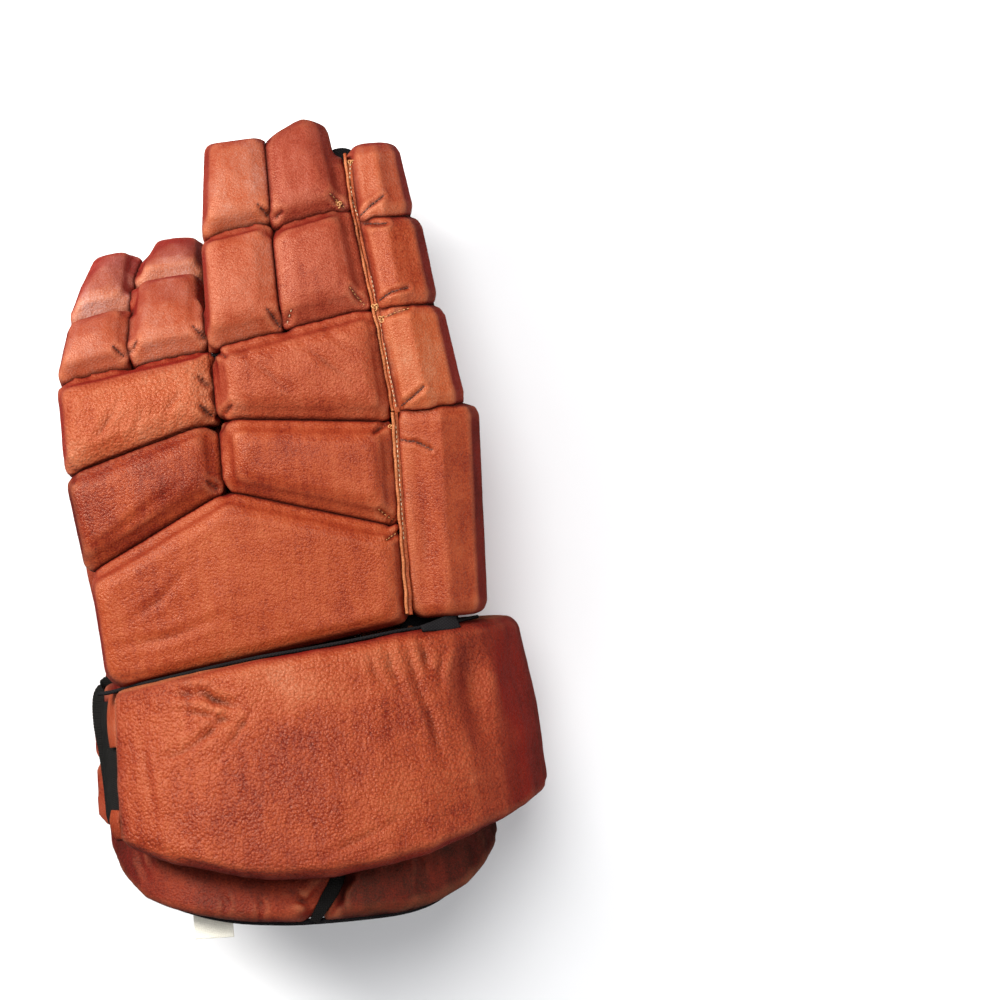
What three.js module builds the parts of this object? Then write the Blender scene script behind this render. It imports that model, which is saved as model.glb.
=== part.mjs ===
import * as THREE from "three";

// An ice hockey glove for the left hand, lying on its palm: foam blocks under tan leather on the back, the
// thumb and the flared cuff, black cloth sleeves for the fingers, a grey suede palm and a black net over
// its heel. Millimetres, +Z up, +Y towards the fingertips, +X towards the thumb. The size is 13 inches, so
// the glove is 330 mm from the rim of the cuff to the longest fingertip.

const GAP = 0.4; // clearance between neighbouring pieces
const PAD = 21; // a block on the back: foam and its leather
const UNDER = PAD + GAP; // depth of the cloth under those blocks
const CLOTH = 1.8; // lining and sleeves
const SUEDE = 1.4; // palm leather
const CORNER = 3.5; // rounding of a block's corners in plan
const LONGEST_FACET = 30; // along a block's edge
const SPLIT = -14.5; // where the two fingers of the thumb side part from the other two
const WRIST = 118; // where the hand begins above the cuff

const point = (x, y, z) => new THREE.Vector3(x, y, z);
const mix = (a, b, t) => a + (b - a) * t;
const span = (from, to, count) => Array.from({ length: count + 1 }, (_, i) => mix(from, to, i / count));
const radians = THREE.MathUtils.degToRad;

// Reads a named column of a table at a place between its rows, which are sorted by key.
function lookUp(table, key, at, column) {
  let i = 1;
  while (i < table.length - 1 && table[i][key] < at) i++;
  const a = table[i - 1];
  const b = table[i];
  return mix(a[column], b[column], THREE.MathUtils.clamp((at - a[key]) / (b[key] - a[key]), 0, 1));
}

// A closed body from points and four-sided faces, turned so that its faces point out.
function solid(points, quads) {
  const triangles = quads.flatMap(([a, b, c, d]) =>
    d === undefined ? [[a, b, c]] : [[a, b, c], [a, c, d]],
  );
  const volume = triangles.reduce(
    (sum, [a, b, c]) => sum + points[a].dot(points[b].clone().cross(points[c])),
    0,
  );
  const index = triangles.flatMap(([a, b, c]) => (volume < 0 ? [a, c, b] : [a, b, c]));
  const geometry = new THREE.BufferGeometry().setFromPoints(points);
  geometry.setIndex(index);
  geometry.computeVertexNormals();
  return geometry;
}

const middle = (ring) =>
  ring.reduce((sum, p) => sum.add(p), point(0, 0, 0)).multiplyScalar(1 / ring.length);

// Rings with the same number of points, skinned one to the next, with a fan over each end.
function stack(rings, first = middle(rings[0]), last = middle(rings.at(-1))) {
  const n = rings[0].length;
  const points = [...rings.flat(), first, last];
  const quads = [];
  for (let r = 0; r < rings.length - 1; r++)
    for (let i = 0; i < n; i++) {
      const j = (i + 1) % n;
      quads.push([r * n + i, r * n + j, (r + 1) * n + j, (r + 1) * n + i]);
    }
  const end = (rings.length - 1) * n;
  for (let i = 0; i < n; i++) {
    const j = (i + 1) % n;
    quads.push([j, i, points.length - 2]);
    quads.push([end + i, end + j, points.length - 1]);
  }
  return solid(points, quads);
}

// A sheet with thickness: two grids of points of the same rows and columns, joined round their edge.
function shell(outer, inner, closed = false) {
  const rows = outer.length;
  const cols = outer[0].length;
  const at = (side, r, c) => side * rows * cols + r * cols + (c % cols);
  const quads = [];
  const last = rows - 1;
  const spans = closed ? cols : cols - 1;
  for (let c = 0; c < spans; c++) {
    for (let r = 0; r < last; r++) {
      quads.push([at(0, r, c), at(0, r, c + 1), at(0, r + 1, c + 1), at(0, r + 1, c)]);
      quads.push([at(1, r, c), at(1, r + 1, c), at(1, r + 1, c + 1), at(1, r, c + 1)]);
    }
    quads.push([at(0, 0, c), at(1, 0, c), at(1, 0, c + 1), at(0, 0, c + 1)]);
    quads.push([at(0, last, c), at(0, last, c + 1), at(1, last, c + 1), at(1, last, c)]);
  }
  if (!closed)
    for (let r = 0; r < last; r++) {
      quads.push([at(0, r, 0), at(0, r + 1, 0), at(1, r + 1, 0), at(1, r, 0)]);
      quads.push([at(0, r, spans), at(1, r, spans), at(1, r + 1, spans), at(0, r + 1, spans)]);
    }
  return solid([...outer.flat(), ...inner.flat()], quads);
}

// The leather skin of the back, seen from the side, in two columns: the thumb side, and the side of the
// ring and little finger, which curls down further. Each is known by its slope at a few places along the
// glove.
const SLOPES = {
  thumbSide: [
    { y: 90, slope: 0 },
    { y: 160, slope: 1 },
    { y: 205, slope: 3 },
    { y: 246, slope: 9 },
    { y: 285, slope: 20 },
    { y: 336, slope: 42 },
  ],
  littleSide: [
    { y: 90, slope: 0 },
    { y: 160, slope: 2 },
    { y: 195, slope: 6 },
    { y: 238, slope: 26 },
    { y: 270, slope: 54 },
    { y: 288, slope: 72 },
  ],
};
const BACK_HEIGHT = 99;
const ARCH = { crest: 0, littleDrop: 7, littleReach: 80, thumbDrop: 2, thumbReach: 55 };

function column(slopes) {
  const step = 0.5;
  const table = [];
  let [y, z, s] = [slopes[0].y, BACK_HEIGHT, 0];
  while (y < slopes.at(-1).y) {
    const slope = radians(lookUp(slopes, "y", y, "slope"));
    table.push({ s, y, z, slope });
    y += step * Math.cos(slope);
    z -= step * Math.sin(slope);
    s += step;
  }
  const along = (yAt) => lookUp(table, "y", yAt, "s");
  // The point of the skin at x and s, moved into the glove by depth.
  const at = (x, sAt, depth) => {
    const little = x < ARCH.crest;
    const drop = little ? ARCH.littleDrop : ARCH.thumbDrop;
    const reach = little ? ARCH.littleReach : ARCH.thumbReach;
    const across = (x - ARCH.crest) / reach;
    const lean = lookUp(table, "s", sAt, "slope");
    const normal = point((2 * drop * across) / reach, Math.tan(lean), 1).normalize();
    const height = lookUp(table, "s", sAt, "z") - drop * across * across;
    const skin = point(x, lookUp(table, "s", sAt, "y"), height);
    return skin.addScaledVector(normal, -depth);
  };
  // The point at that depth which lies at a given place in plan.
  const under = (x, y, depth) => {
    let guess = y;
    for (let i = 0; i < 12; i++) guess += y - at(x, along(guess), depth).y;
    return at(x, along(guess), depth);
  };
  return { along, at, under };
}
const COLUMN = { thumbSide: column(SLOPES.thumbSide), littleSide: column(SLOPES.littleSide) };

// Moves each edge of a convex outline inwards by its own distance.
function inset(corners, distances) {
  const n = corners.length;
  const edges = corners.map(([x, y], i) => {
    const [nx, ny] = corners[(i + 1) % n];
    const length = Math.hypot(nx - x, ny - y);
    const [dx, dy] = [(nx - x) / length, (ny - y) / length];
    return { x: x - dy * distances[i], y: y + dx * distances[i], dx, dy };
  });
  return edges.map((b, i) => {
    const a = edges[(i + n - 1) % n];
    const t = ((b.x - a.x) * b.dy - (b.y - a.y) * b.dx) / (a.dx * b.dy - a.dy * b.dx);
    return [a.x + a.dx * t, a.y + a.dy * t];
  });
}

// The outline's points with each corner rounded off, and each edge split into equal parts.
function rounded(corners, radius, parts) {
  const n = corners.length;
  const toward = ([x, y], [tx, ty], d) => {
    const length = Math.hypot(tx - x, ty - y);
    const share = Math.min(d / length, 0.45);
    return [mix(x, tx, share), mix(y, ty, share)];
  };
  return corners.flatMap((corner, i) => {
    const before = toward(corner, corners[(i + n - 1) % n], radius);
    const after = toward(corner, corners[(i + 1) % n], radius);
    const bend = [0, 1].map((k) => corner[k] * 0.5 + (before[k] + after[k]) * 0.25);
    const next = corners[(i + 1) % n];
    const shares = span(0, 1, parts[i]).slice(1, -1);
    const edge = shares.map((share) => [0, 1].map((k) => mix(corner[k], next[k], share)));
    return [before, bend, after, ...edge];
  });
}

// The rings of a block from its bottom up: the share of its bevels taken there, how far it is drawn in
// besides, and the depth below the skin of the back.
const BLOCK_RINGS = [
  { bevel: 0, drawn: 0.8, depth: PAD },
  { bevel: 0, drawn: 0, depth: PAD * 0.6 },
  { bevel: 0.12, drawn: 0, depth: PAD * 0.27 },
  { bevel: 0.9, drawn: 0, depth: 0.9 },
  { bevel: 1, drawn: 3, depth: -0.6 },
];
const CROWN = 1.5; // how far a block's middle swells above the skin

// A foam block on the back. Its outline is what shows from above, in plan, anticlockwise from the corner
// nearest the wrist on the little side. Bevels go with the edges in the same order.
function block({ side, outline, bevels }) {
  const skin = COLUMN[side];
  const corners = outline.map(([x, y]) => [x, skin.along(y)]);
  const parts = corners.map(([x, s], i) => {
    const [nextX, nextS] = corners[(i + 1) % corners.length];
    return Math.max(2, Math.round(Math.hypot(nextX - x, nextS - s) / LONGEST_FACET));
  });
  const layer = ({ bevel, drawn, depth }) =>
    rounded(inset(corners, bevels.map((b) => b * bevel + drawn)), CORNER + drawn, parts).map(([x, s]) =>
      skin.at(x, s, depth),
    );
  const heart = [0, 1].map((k) => corners.reduce((sum, corner) => sum + corner[k] / corners.length, 0));
  const sole = rounded(corners, CORNER, parts).map(([x, s]) =>
    skin.at(mix(heart[0], x, 0.5), mix(heart[1], s, 0.5), PAD),
  );
  return stack(
    [sole, ...BLOCK_RINGS.map(layer)],
    skin.at(heart[0], heart[1], PAD),
    skin.at(heart[0], heart[1], -CROWN),
  );
}

const BLOCKS = {
  back_plate: {
    side: "thumbSide",
    outline: [[-64.5, 100.8], [55.6, 117.9], [55.6, 155.2], [-13.9, 176.4], [-73.8, 147.2], [-71, 106]],
    bevels: [3, 4, 4.5, 4.5, 3, 3],
  },
  second_roll_little: {
    side: "littleSide",
    outline: [[-75.6, 149.9], [-15.6, 178.3], [-18.6, 206.2], [-80.8, 188.6]],
    bevels: [6, 6, 4, 3],
  },
  second_roll_thumb: {
    side: "thumbSide",
    outline: [[-13.2, 179.2], [53.2, 159.6], [54, 199.7], [-12.8, 206.6]],
    bevels: [5, 4, 5, 5],
  },
  knuckle_roll_little: {
    side: "littleSide",
    outline: [[-80.6, 190], [-17, 208], [-15.6, 238.2], [-81.6, 228.8]],
    bevels: [5, 6, 5, 4],
  },
  knuckle_roll_thumb: {
    side: "thumbSide",
    outline: [[-13.6, 208.4], [54.8, 201.6], [52, 247.2], [-13.6, 236.2]],
    bevels: [6, 4, 5, 5],
  },
  little_mid_block: {
    side: "littleSide",
    outline: [[-81.4, 230.4], [-51.2, 236.2], [-48, 260.2], [-74.8, 255.2]],
    bevels: [6, 5, 3, 3],
  },
  little_tip_block: {
    side: "littleSide",
    outline: [[-75, 257], [-49, 262], [-45.4, 285], [-64, 283]],
    bevels: [4, 4, 7, 4],
  },
  ring_mid_block: {
    side: "littleSide",
    outline: [[-50, 237], [-17.4, 240.4], [-17.4, 271.8], [-46.6, 269.4]],
    bevels: [6, 4, 3, 4],
  },
  ring_tip_block: {
    side: "littleSide",
    outline: [[-46.4, 271], [-17.4, 273.4], [-16.6, 296], [-38, 295.6]],
    bevels: [4, 4, 7, 4],
  },
  middle_mid_block: {
    side: "thumbSide",
    outline: [[-16.6, 237.4], [14.2, 242.4], [13.2, 287.8], [-16.2, 283]],
    bevels: [8, 5, 4, 3],
  },
  middle_tip_block: {
    side: "thumbSide",
    outline: [[-15.8, 284.4], [13, 289.2], [12.6, 326.4], [-12, 325.4]],
    bevels: [6, 3, 5, 4],
  },
  index_mid_block: {
    side: "thumbSide",
    outline: [[15.4, 243.2], [50.4, 248.8], [45, 291], [14.4, 285]],
    bevels: [8, 6, 4, 3],
  },
  index_tip_block: {
    side: "thumbSide",
    outline: [[14, 286.4], [45, 292.4], [39.4, 329], [30, 333.2], [13.6, 325]],
    bevels: [6, 6, 5, 4, 3],
  },
};

// The blocks that run down the thumb side, outside the seam: a roof with a ridge, then a side wall. Depths
// are below the skin of the back. The long one is hollow underneath, where the thumb joins the hand.
const SIDE_BLOCKS = {
  index_side_tip: [
    { y: 285, seam: 49.6, ridge: 60, outer: 72, top: 1.5, wall: 34 },
    { y: 316, seam: 47.6, ridge: 58, outer: 67.4, top: 2.5, wall: 28 },
  ],
  index_side_mid: [
    { y: 247.6, seam: 54.4, ridge: 64, outer: 78.6, top: 1, wall: 36 },
    { y: 284, seam: 49.8, ridge: 60, outer: 74, top: 1, wall: 34 },
  ],
  index_side_base: [
    { y: 205.4, seam: 59, ridge: 71, outer: 86.4, top: 1, wall: 38 },
    { y: 246.6, seam: 54.8, ridge: 66, outer: 80.2, top: 1, wall: 36 },
  ],
  thumb_side_long: [
    { y: 119.4, seam: 57.6, ridge: 73, outer: 87.6, top: 4, wall: 54, roof: 24, lining: 74 },
    { y: 204.6, seam: 58.8, ridge: 76, outer: 91.4, top: 3, wall: 54, roof: 24, lining: 74 },
  ],
};

function sideBlock([from, to], bevel = 4.5) {
  const skin = COLUMN.thumbSide;
  const ring = (y, shrink) => {
    const at = (name) => lookUp([from, to], "y", y, name);
    const [seam, ridge, outer] = [at("seam"), at("ridge"), at("outer")];
    const section = [
      [seam, at("top") + 7],
      [seam + 3, at("top") + 1.5],
      [ridge, at("top")],
      [mix(ridge, outer, 0.75), at("top") + 5],
      [outer, at("top") + 15],
      [outer - 0.8, at("wall")],
      ...(from.roof
        ? [[outer - 6, at("wall") + 4], [at("lining") + 0.6, at("wall") + 2], [at("lining"), at("roof")]]
        : [[outer - 6, at("wall") + 5], [seam + 5, at("wall") + 3]]),
      [seam + 0.6, from.roof ? at("roof") : at("wall") - 6],
    ];
    const crest = skin.at(ARCH.crest, skin.along(y), 0).z;
    return inset(section, section.map(() => shrink)).map(([x, depth]) => point(x, y, crest - depth));
  };
  return stack([
    ring(from.y, bevel),
    ring(from.y + bevel * 0.3, bevel * 0.3),
    ring(from.y + bevel, 0),
    ring(to.y - bevel, 0),
    ring(to.y - bevel * 0.3, bevel * 0.3),
    ring(to.y, bevel),
  ]);
}

// The two blocks that close the side of the little finger, between the back and the palm.
const LITTLE_SIDE_BLOCKS = {
  little_side_lower: [
    { y: 121, outer: -71, inner: -62.4, bottom: 19 },
    { y: 150, outer: -75, inner: -62.4, bottom: 18 },
    { y: 186, outer: -77, inner: -62.4, bottom: 18 },
    { y: 197, outer: -77, inner: -62.4, bottom: 19 },
  ],
  little_side_upper: [
    { y: 198.4, outer: -77, inner: -62.4, bottom: 19 },
    { y: 210, outer: -77.4, inner: -62.4, bottom: 18 },
    { y: 222, outer: -76.4, inner: -62.4, bottom: 15 },
    { y: 231, outer: -75.4, inner: -62.4, bottom: 11 },
  ],
};
const littleSideTop = (y) =>
  Math.min(...Object.values(COLUMN).map((skin) => skin.under(-76, y, UNDER).z)) - 0.4;

function littleSideBlock(stations, bevel = 4) {
  const ring = (y, shrink) => {
    const at = (name) => lookUp(stations, "y", y, name);
    const [outer, inner, top, bottom] = [at("outer"), at("inner"), littleSideTop(y), at("bottom")];
    const section = [
      [inner, top],
      [outer + 4, top],
      [outer, top - 5],
      [outer + 0.6, mix(top, bottom, 0.6)],
      [outer + 5, bottom + 5],
      [mix(outer, inner, 0.75), bottom],
      [inner + 2.4, bottom + 1],
      [inner + 2, bottom + 5],
      [inner, bottom + 9],
    ];
    return inset(section, section.map(() => shrink)).map(([x, z]) => point(x, y, z));
  };
  const from = stations[0].y;
  const to = stations.at(-1).y;
  return stack([
    ring(from, bevel * 0.6),
    ring(from + bevel * 0.3, bevel * 0.2),
    ring(from + bevel, 0),
    ...stations.slice(1, -1).map((station) => ring(station.y, 0)),
    ring(to - bevel, 0),
    ring(to - bevel * 0.3, bevel * 0.2),
    ring(to, bevel * 0.6),
  ]);
}

// The cuff is a flared D-shaped tube round Y. An angle of 90 degrees is the middle of the back, 0 the thumb
// side, 180 the little side and 270 the middle of the palm side, which is flat. Where there are two
// numbers, they are for the rim and the wrist; back and palm are how square the tube is there.
const CUFF = {
  floor: 18.2,
  halfWidth: [69, 63.5],
  halfDepth: [39.5, 28.8],
  centre: [4, 2.6],
  back: 2.3,
  palm: 4.6,
};
function cuffPoint(angle, y, out) {
  const t = y / WRIST;
  const [c, s] = [Math.cos(radians(angle)), Math.sin(radians(angle))];
  const power = 2 / (s > 0 ? CUFF.back : CUFF.palm);
  const halfDepth = mix(...CUFF.halfDepth, t);
  const halfWidth = mix(...CUFF.halfWidth, t) + out;
  const x = mix(...CUFF.centre, t) + halfWidth * Math.sign(c) * Math.abs(c) ** power;
  const z = CUFF.floor + halfDepth + (halfDepth + out) * Math.sign(s) * Math.abs(s) ** power;
  return point(x, y, Math.max(z, 0));
}

// Where the cuff's layers begin and end, round the tube. The layers get thin on the palm side, where they
// lie under the hand.
const CUFF_EDGES = [
  { angle: -82, rim: 31, lower: 5, rollBottom: 50, rollTop: 117, roll: 13.2, flare: 0 },
  { angle: -60, rim: 29, lower: 5, rollBottom: 49, rollTop: 117, roll: 13.2, flare: 0 },
  { angle: -30, rim: 27, lower: 7, rollBottom: 48.6, rollTop: 117, roll: 15, flare: 2 },
  { angle: 0, rim: 24, lower: 11, rollBottom: 48, rollTop: 117, roll: 22, flare: 6 },
  { angle: 25, rim: 11, lower: 12, rollBottom: 41, rollTop: 117, roll: 22, flare: 5 },
  { angle: 60, rim: 0, lower: 12, rollBottom: 22, rollTop: 114.4, roll: 20, flare: 2 },
  { angle: 90, rim: 0, lower: 12, rollBottom: 14.5, rollTop: 109.8, roll: 19, flare: 0 },
  { angle: 120, rim: 1, lower: 12, rollBottom: 21, rollTop: 103.8, roll: 18, flare: 0 },
  { angle: 145, rim: 8, lower: 12, rollBottom: 31, rollTop: 99.6, roll: 15, flare: 0 },
  { angle: 165, rim: 27, lower: 12, rollBottom: 39, rollTop: 98.6, roll: 12, flare: 0 },
  { angle: 185, rim: 40, lower: 11, rollBottom: 42, rollTop: 104, roll: 12, flare: 0 },
];
const cuffEdge = (angle, name) => lookUp(CUFF_EDGES, "angle", angle, name);

// A layer wrapped round part of the cuff, from its base outwards. Each row lies some way up from the bottom
// edge or down from the top edge, and says how full the padding is there. It is softer at its two ends.
function cuffLayer({ angles, bottom, top, base, thick, rows, ends = 0.5 }) {
  const grid = (share) =>
    rows.map((row) =>
      angles.map((angle, i) => {
        const y = "down" in row ? top(angle) - row.down : row.at ? row.at(angle) : bottom(angle) + row.up;
        const full = row.full * (i === 0 || i === angles.length - 1 ? ends : 1);
        return cuffPoint(angle, y, base(angle) + share * full * thick(angle, y));
      }),
    );
  return shell(grid(1), grid(0));
}

const CUFF_ANGLES = span(-96, 300, 33);
const between = (from, to) => CUFF_ANGLES.filter((angle) => angle > from + 4 && angle < to - 4);
const padded = (from, to) => [from, from + 3, ...between(from, to), to - 3, to];
const rollBase = (angle) => GAP + cuffEdge(angle, "lower") + GAP;
const ROLL_ENDS = [-81, 139.6]; // under the thumb side, and at the raw edge where the elastic begins

const cuffRoll = () =>
  cuffLayer({
    angles: padded(...ROLL_ENDS),
    bottom: (angle) => cuffEdge(angle, "rollBottom"),
    top: (angle) => cuffEdge(angle, "rollTop"),
    base: rollBase,
    thick: (angle, y) => cuffEdge(angle, "roll") + cuffEdge(angle, "flare") * (1 - y / WRIST),
    rows: [
      { up: 0, full: 0.35 },
      { up: 1, full: 0.75 },
      { up: 5, full: 1 },
      { up: 30, full: 1.05 },
      { down: 4, full: 1 },
      { down: 0.8, full: 0.86 },
      { down: 0, full: 0.4 },
    ],
  });

const RIM_SLIT = 88; // where the cuff's lower layer is slit, on the back
const LOWER_LIP = 12; // its padding where it shows below the roll
const lowerCuff = (from, to) =>
  cuffLayer({
    angles: padded(from, to),
    bottom: (angle) => cuffEdge(angle, "rim"),
    top: (angle) => cuffEdge(angle, "rollTop") - 1,
    base: () => GAP,
    thick: (angle, y) => (y < cuffEdge(angle, "rollBottom") - 1 ? LOWER_LIP : cuffEdge(angle, "lower")),
    rows: [
      { up: 0, full: 0.4 },
      { up: 1.2, full: 0.8 },
      { up: 4, full: 1 },
      { at: (angle) => Math.max(cuffEdge(angle, "rollBottom") - 1.6, cuffEdge(angle, "rim") + 5), full: 1 },
      { at: (angle) => Math.max(cuffEdge(angle, "rollBottom") - 0.6, cuffEdge(angle, "rim") + 6), full: 1 },
      { down: 0, full: 1 },
    ],
    ends: 0.6,
  });

// The palm side of the cuff: two padded channels under a hem, with rows of stitching between them.
const PALM_RIM = 42;
const PALM_TOP = 112;
const PALM_ENDS = [190.6, 276.6];
const palmPanel = () =>
  cuffLayer({
    angles: padded(...PALM_ENDS),
    bottom: () => PALM_RIM,
    top: () => PALM_TOP,
    base: () => GAP,
    thick: () => 19,
    rows: [
      { up: 0, full: 0.4 },
      { up: 1.5, full: 0.8 },
      { up: 6, full: 1 },
      { up: 24, full: 1 },
      { up: 28, full: 0.8 },
      { up: 32, full: 1 },
      { up: 56, full: 1 },
      { up: 61, full: 0.74 },
      { down: 0, full: 0.6 },
    ],
    ends: 0.72,
  });

// The black cloth tube inside the cuff. Its rim follows the padding, long on the back and short on the palm
// side.
const LINING_EDGES = [
  { angle: -96, rim: PALM_RIM - 2, top: 110 },
  { angle: -64, rim: 31.5, top: 112 },
  { angle: -30, rim: 28.5, top: 113 },
  { angle: 0, rim: 24.5, top: 113 },
  { angle: 25, rim: 12.5, top: 112.6 },
  { angle: 60, rim: 0.5, top: 116 },
  { angle: 90, rim: 0.5, top: 116 },
  { angle: 120, rim: 1.5, top: 116 },
  { angle: 145, rim: 8.5, top: 116 },
  { angle: 158, rim: 22, top: 114 },
  { angle: 190, rim: PALM_RIM - 2, top: 112 },
  { angle: 264, rim: PALM_RIM - 2, top: 110 },
];
function cuffLining() {
  const edge = (angle, name) => lookUp(LINING_EDGES, "angle", angle, name);
  const onceRound = CUFF_ANGLES.filter((angle) => angle < CUFF_ANGLES[0] + 360);
  const grid = (out) =>
    [0, 0.5, 1].map((t) =>
      onceRound.map((angle) => cuffPoint(angle, mix(edge(angle, "rim"), edge(angle, "top"), t), out)),
    );
  return shell(grid(0), grid(-CLOTH), true);
}

// The elastic that bridges the open side of the cuff, between its back and its palm side.
const ELASTIC_ENDS = [ROLL_ENDS[1] + 1.4, 189.6];
const cuffElastic = () =>
  shell(
    ...[1.8, 0].map((out) =>
      [44, 72, 97].map((y) =>
        [ELASTIC_ENDS[0], ...between(...ELASTIC_ENDS), ELASTIC_ENDS[1]].map((angle) =>
          cuffPoint(angle, y, rollBase(angle) + out),
        ),
      ),
    ),
  );

// A finger's sleeve: a cloth tube that follows the skin of the back, closed at the tip.
const SLEEVES = {
  index: {
    side: "thumbSide",
    depth: 27,
    path: [
      { y: 244, x: 32.6, width: 34.4, lean: 0 },
      { y: 286, x: 31.6, width: 33.4, lean: 0.7 },
      { y: 322, x: 29.6, width: 28, lean: 1 },
    ],
  },
  middle: {
    side: "thumbSide",
    depth: 27,
    path: [
      { y: 244, x: -1, width: 28, lean: 0 },
      { y: 284, x: -1, width: 27, lean: 0.7 },
      { y: 317, x: -0.4, width: 24, lean: 1 },
    ],
  },
  ring: {
    side: "littleSide",
    depth: 25,
    path: [
      { y: 243, x: -32.4, width: 28, lean: 0 },
      { y: 268, x: -31.6, width: 27, lean: 0.5 },
      { y: 290, x: -29, width: 24, lean: 0.8 },
    ],
  },
  little: {
    side: "littleSide",
    depth: 24,
    path: [
      { y: 243, x: -62, width: 27, lean: 0 },
      { y: 258, x: -60.4, width: 25, lean: 0.5 },
      { y: 280, x: -57, width: 22, lean: 0.8 },
    ],
  },
};

// Twelve points round a finger, from its outer side over the back: shares of half the width and of the
// depth.
const FINGER_ROUND = [
  [1, 0.5], [0.96, 0.25], [0.72, 0.06], [0, 0], [-0.72, 0.06], [-0.96, 0.25],
  [-1, 0.5], [-0.96, 0.76], [-0.7, 0.94], [0, 1], [0.7, 0.94], [0.96, 0.76],
];

// A place in a finger: its share of the half width, and its depth under the cloth's top. A finger starts
// upright at its root and leans with the skin towards its tip.
function fingerPoint({ side, path }, y, beyond, across, depth, trim = 0) {
  const skin = COLUMN[side];
  const x = lookUp(path, "y", y, "x") + across * (lookUp(path, "y", y, "width") / 2 - trim);
  const top = skin.at(x, skin.along(y) + beyond, UNDER);
  const inward = skin.at(x, skin.along(y) + beyond, UNDER + 1).sub(top);
  inward.y *= lookUp(path, "y", y, "lean");
  return top.addScaledVector(inward.normalize(), depth);
}
const fingerRing = (finger, y, beyond, shrink) =>
  FINGER_ROUND.map(([across, down]) =>
    fingerPoint(finger, y, beyond, across, shrink + down * (finger.depth - 2 * shrink), shrink),
  );

function sleeve(finger) {
  const from = finger.path[0].y;
  const to = finger.path.at(-1).y;
  const along = span(from, to, 4);
  return stack([
    fingerRing(finger, to, 1.2, 7),
    fingerRing(finger, to, 0, CLOTH),
    ...along.slice(0, -1).reverse().map((y) => fingerRing(finger, y, 0, CLOTH)),
    ...along.map((y) => fingerRing(finger, y, 0, 0)),
    fingerRing(finger, to, 3.2, 3.4),
    fingerRing(finger, to, 4.6, 9),
  ]);
}

// The strip of palm suede that faces a finger, from the palm to a rounded tab at its tip.
function fingerFacing(finger) {
  const from = finger.path[0].y;
  const to = finger.path.at(-1).y;
  const strip = span(from, to, 4).map((y) => ({ y, beyond: 0, half: 0.66 }));
  const rows = [...strip, { y: to, beyond: 6, half: 0.4 }];
  const grid = (depth) =>
    rows.map(({ y, beyond, half }) =>
      [-half, 0, half].map((across) => fingerPoint(finger, y, beyond, across, finger.depth + depth)),
    );
  return shell(grid(GAP + SUEDE), grid(GAP));
}

// The cloth that carries the blocks and closes the sides of the hand. The palm pieces close it below, and
// on the thumb side it widens into the hollow of the long block.
const HAND = { from: 117.4, to: 230, littleSide: -61.8 };
const THUMB_HOLLOW = { wide: 73.4, low: 43, end: 197 };
function handLining() {
  const tops = [-56, -46, -34, -22, SPLIT - 0.5, SPLIT + 0.5, 0, 18, 36, 52];
  const grid = (inside) =>
    [HAND.from, 140, 168, THUMB_HOLLOW.end, THUMB_HOLLOW.end + 7, 216, HAND.to].map((y) => {
      const roof = tops.map((x) =>
        COLUMN[x < SPLIT ? "littleSide" : "thumbSide"].under(x, y, UNDER + inside).setY(y),
      );
      const left = roof[0].z - 7;
      const corner = roof.at(-1).z - 5;
      const share = (y - HAND.from) / (HAND.to - HAND.from);
      const near = mix(57.6, 55.6, share) - inside;
      const open = y <= THUMB_HOLLOW.end;
      return [
        point(HAND.littleSide + inside, y, Math.min(mix(32, 44, share), left - 4)),
        point(HAND.littleSide + inside, y, left),
        ...roof,
        point(near, y, corner),
        point(open ? THUMB_HOLLOW.wide - inside : near, y, corner - (open ? 0 : 3)),
        point(
          open ? THUMB_HOLLOW.wide - inside : near,
          y,
          open ? THUMB_HOLLOW.low : THUMB_HOLLOW.low + 3.4,
        ),
      ];
    });
  return shell(grid(0), grid(CLOTH));
}

// The net over the heel of the palm: bars round a grid of gaps, on a sloped four-sided patch. A bar's width
// is a share of the distance from one bar to the next.
const NET = {
  columns: 8,
  rows: 13,
  thick: 1.2,
  bar: 0.46,
  corners: {
    nearLeft: [-48, 121.6, 25.4],
    nearRight: [19, 121.6, 25.4],
    farLeft: [-44, 207, 33],
    farRight: [14.6, 222.6, 35.6],
  },
};
function net() {
  const { columns, rows, thick, bar, corners } = NET;
  const lines = (count) => span(0, count, count).flatMap((i) => [i, i + bar]);
  const [across, along] = [lines(columns), lines(rows)];
  const [wide, long] = [across.at(-1), along.at(-1)];
  const at = (i, j, lift) => {
    const [u, v] = [across[i] / wide, along[j] / long];
    const [x, y, z] = [0, 1, 2].map((k) => {
      const near = mix(corners.nearLeft[k], corners.nearRight[k], u);
      return mix(near, mix(corners.farLeft[k], corners.farRight[k], u), v);
    });
    return point(x, y, z + lift);
  };
  const [nx, ny] = [across.length, along.length];
  const points = [];
  for (const lift of [0, thick])
    for (let j = 0; j < ny; j++) {
      for (let i = 0; i < nx; i++) points.push(at(i, j, lift));
    }
  const filled = (i, j) => i >= 0 && j >= 0 && i < nx - 1 && j < ny - 1 && !(i % 2 === 1 && j % 2 === 1);
  const quads = [];
  for (let j = 0; j < ny - 1; j++)
    for (let i = 0; i < nx - 1; i++) {
      if (!filled(i, j)) continue;
      const below = [j * nx + i, j * nx + i + 1, (j + 1) * nx + i + 1, (j + 1) * nx + i];
      const above = below.map((id) => id + nx * ny);
      const wall = (a, b) => quads.push([below[a], below[b], above[b], above[a]]);
      quads.push(below.slice().reverse(), above);
      if (!filled(i, j - 1)) wall(0, 1);
      if (!filled(i + 1, j)) wall(1, 2);
      if (!filled(i, j + 1)) wall(2, 3);
      if (!filled(i - 1, j)) wall(3, 0);
    }
  return solid(points, quads);
}

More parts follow.
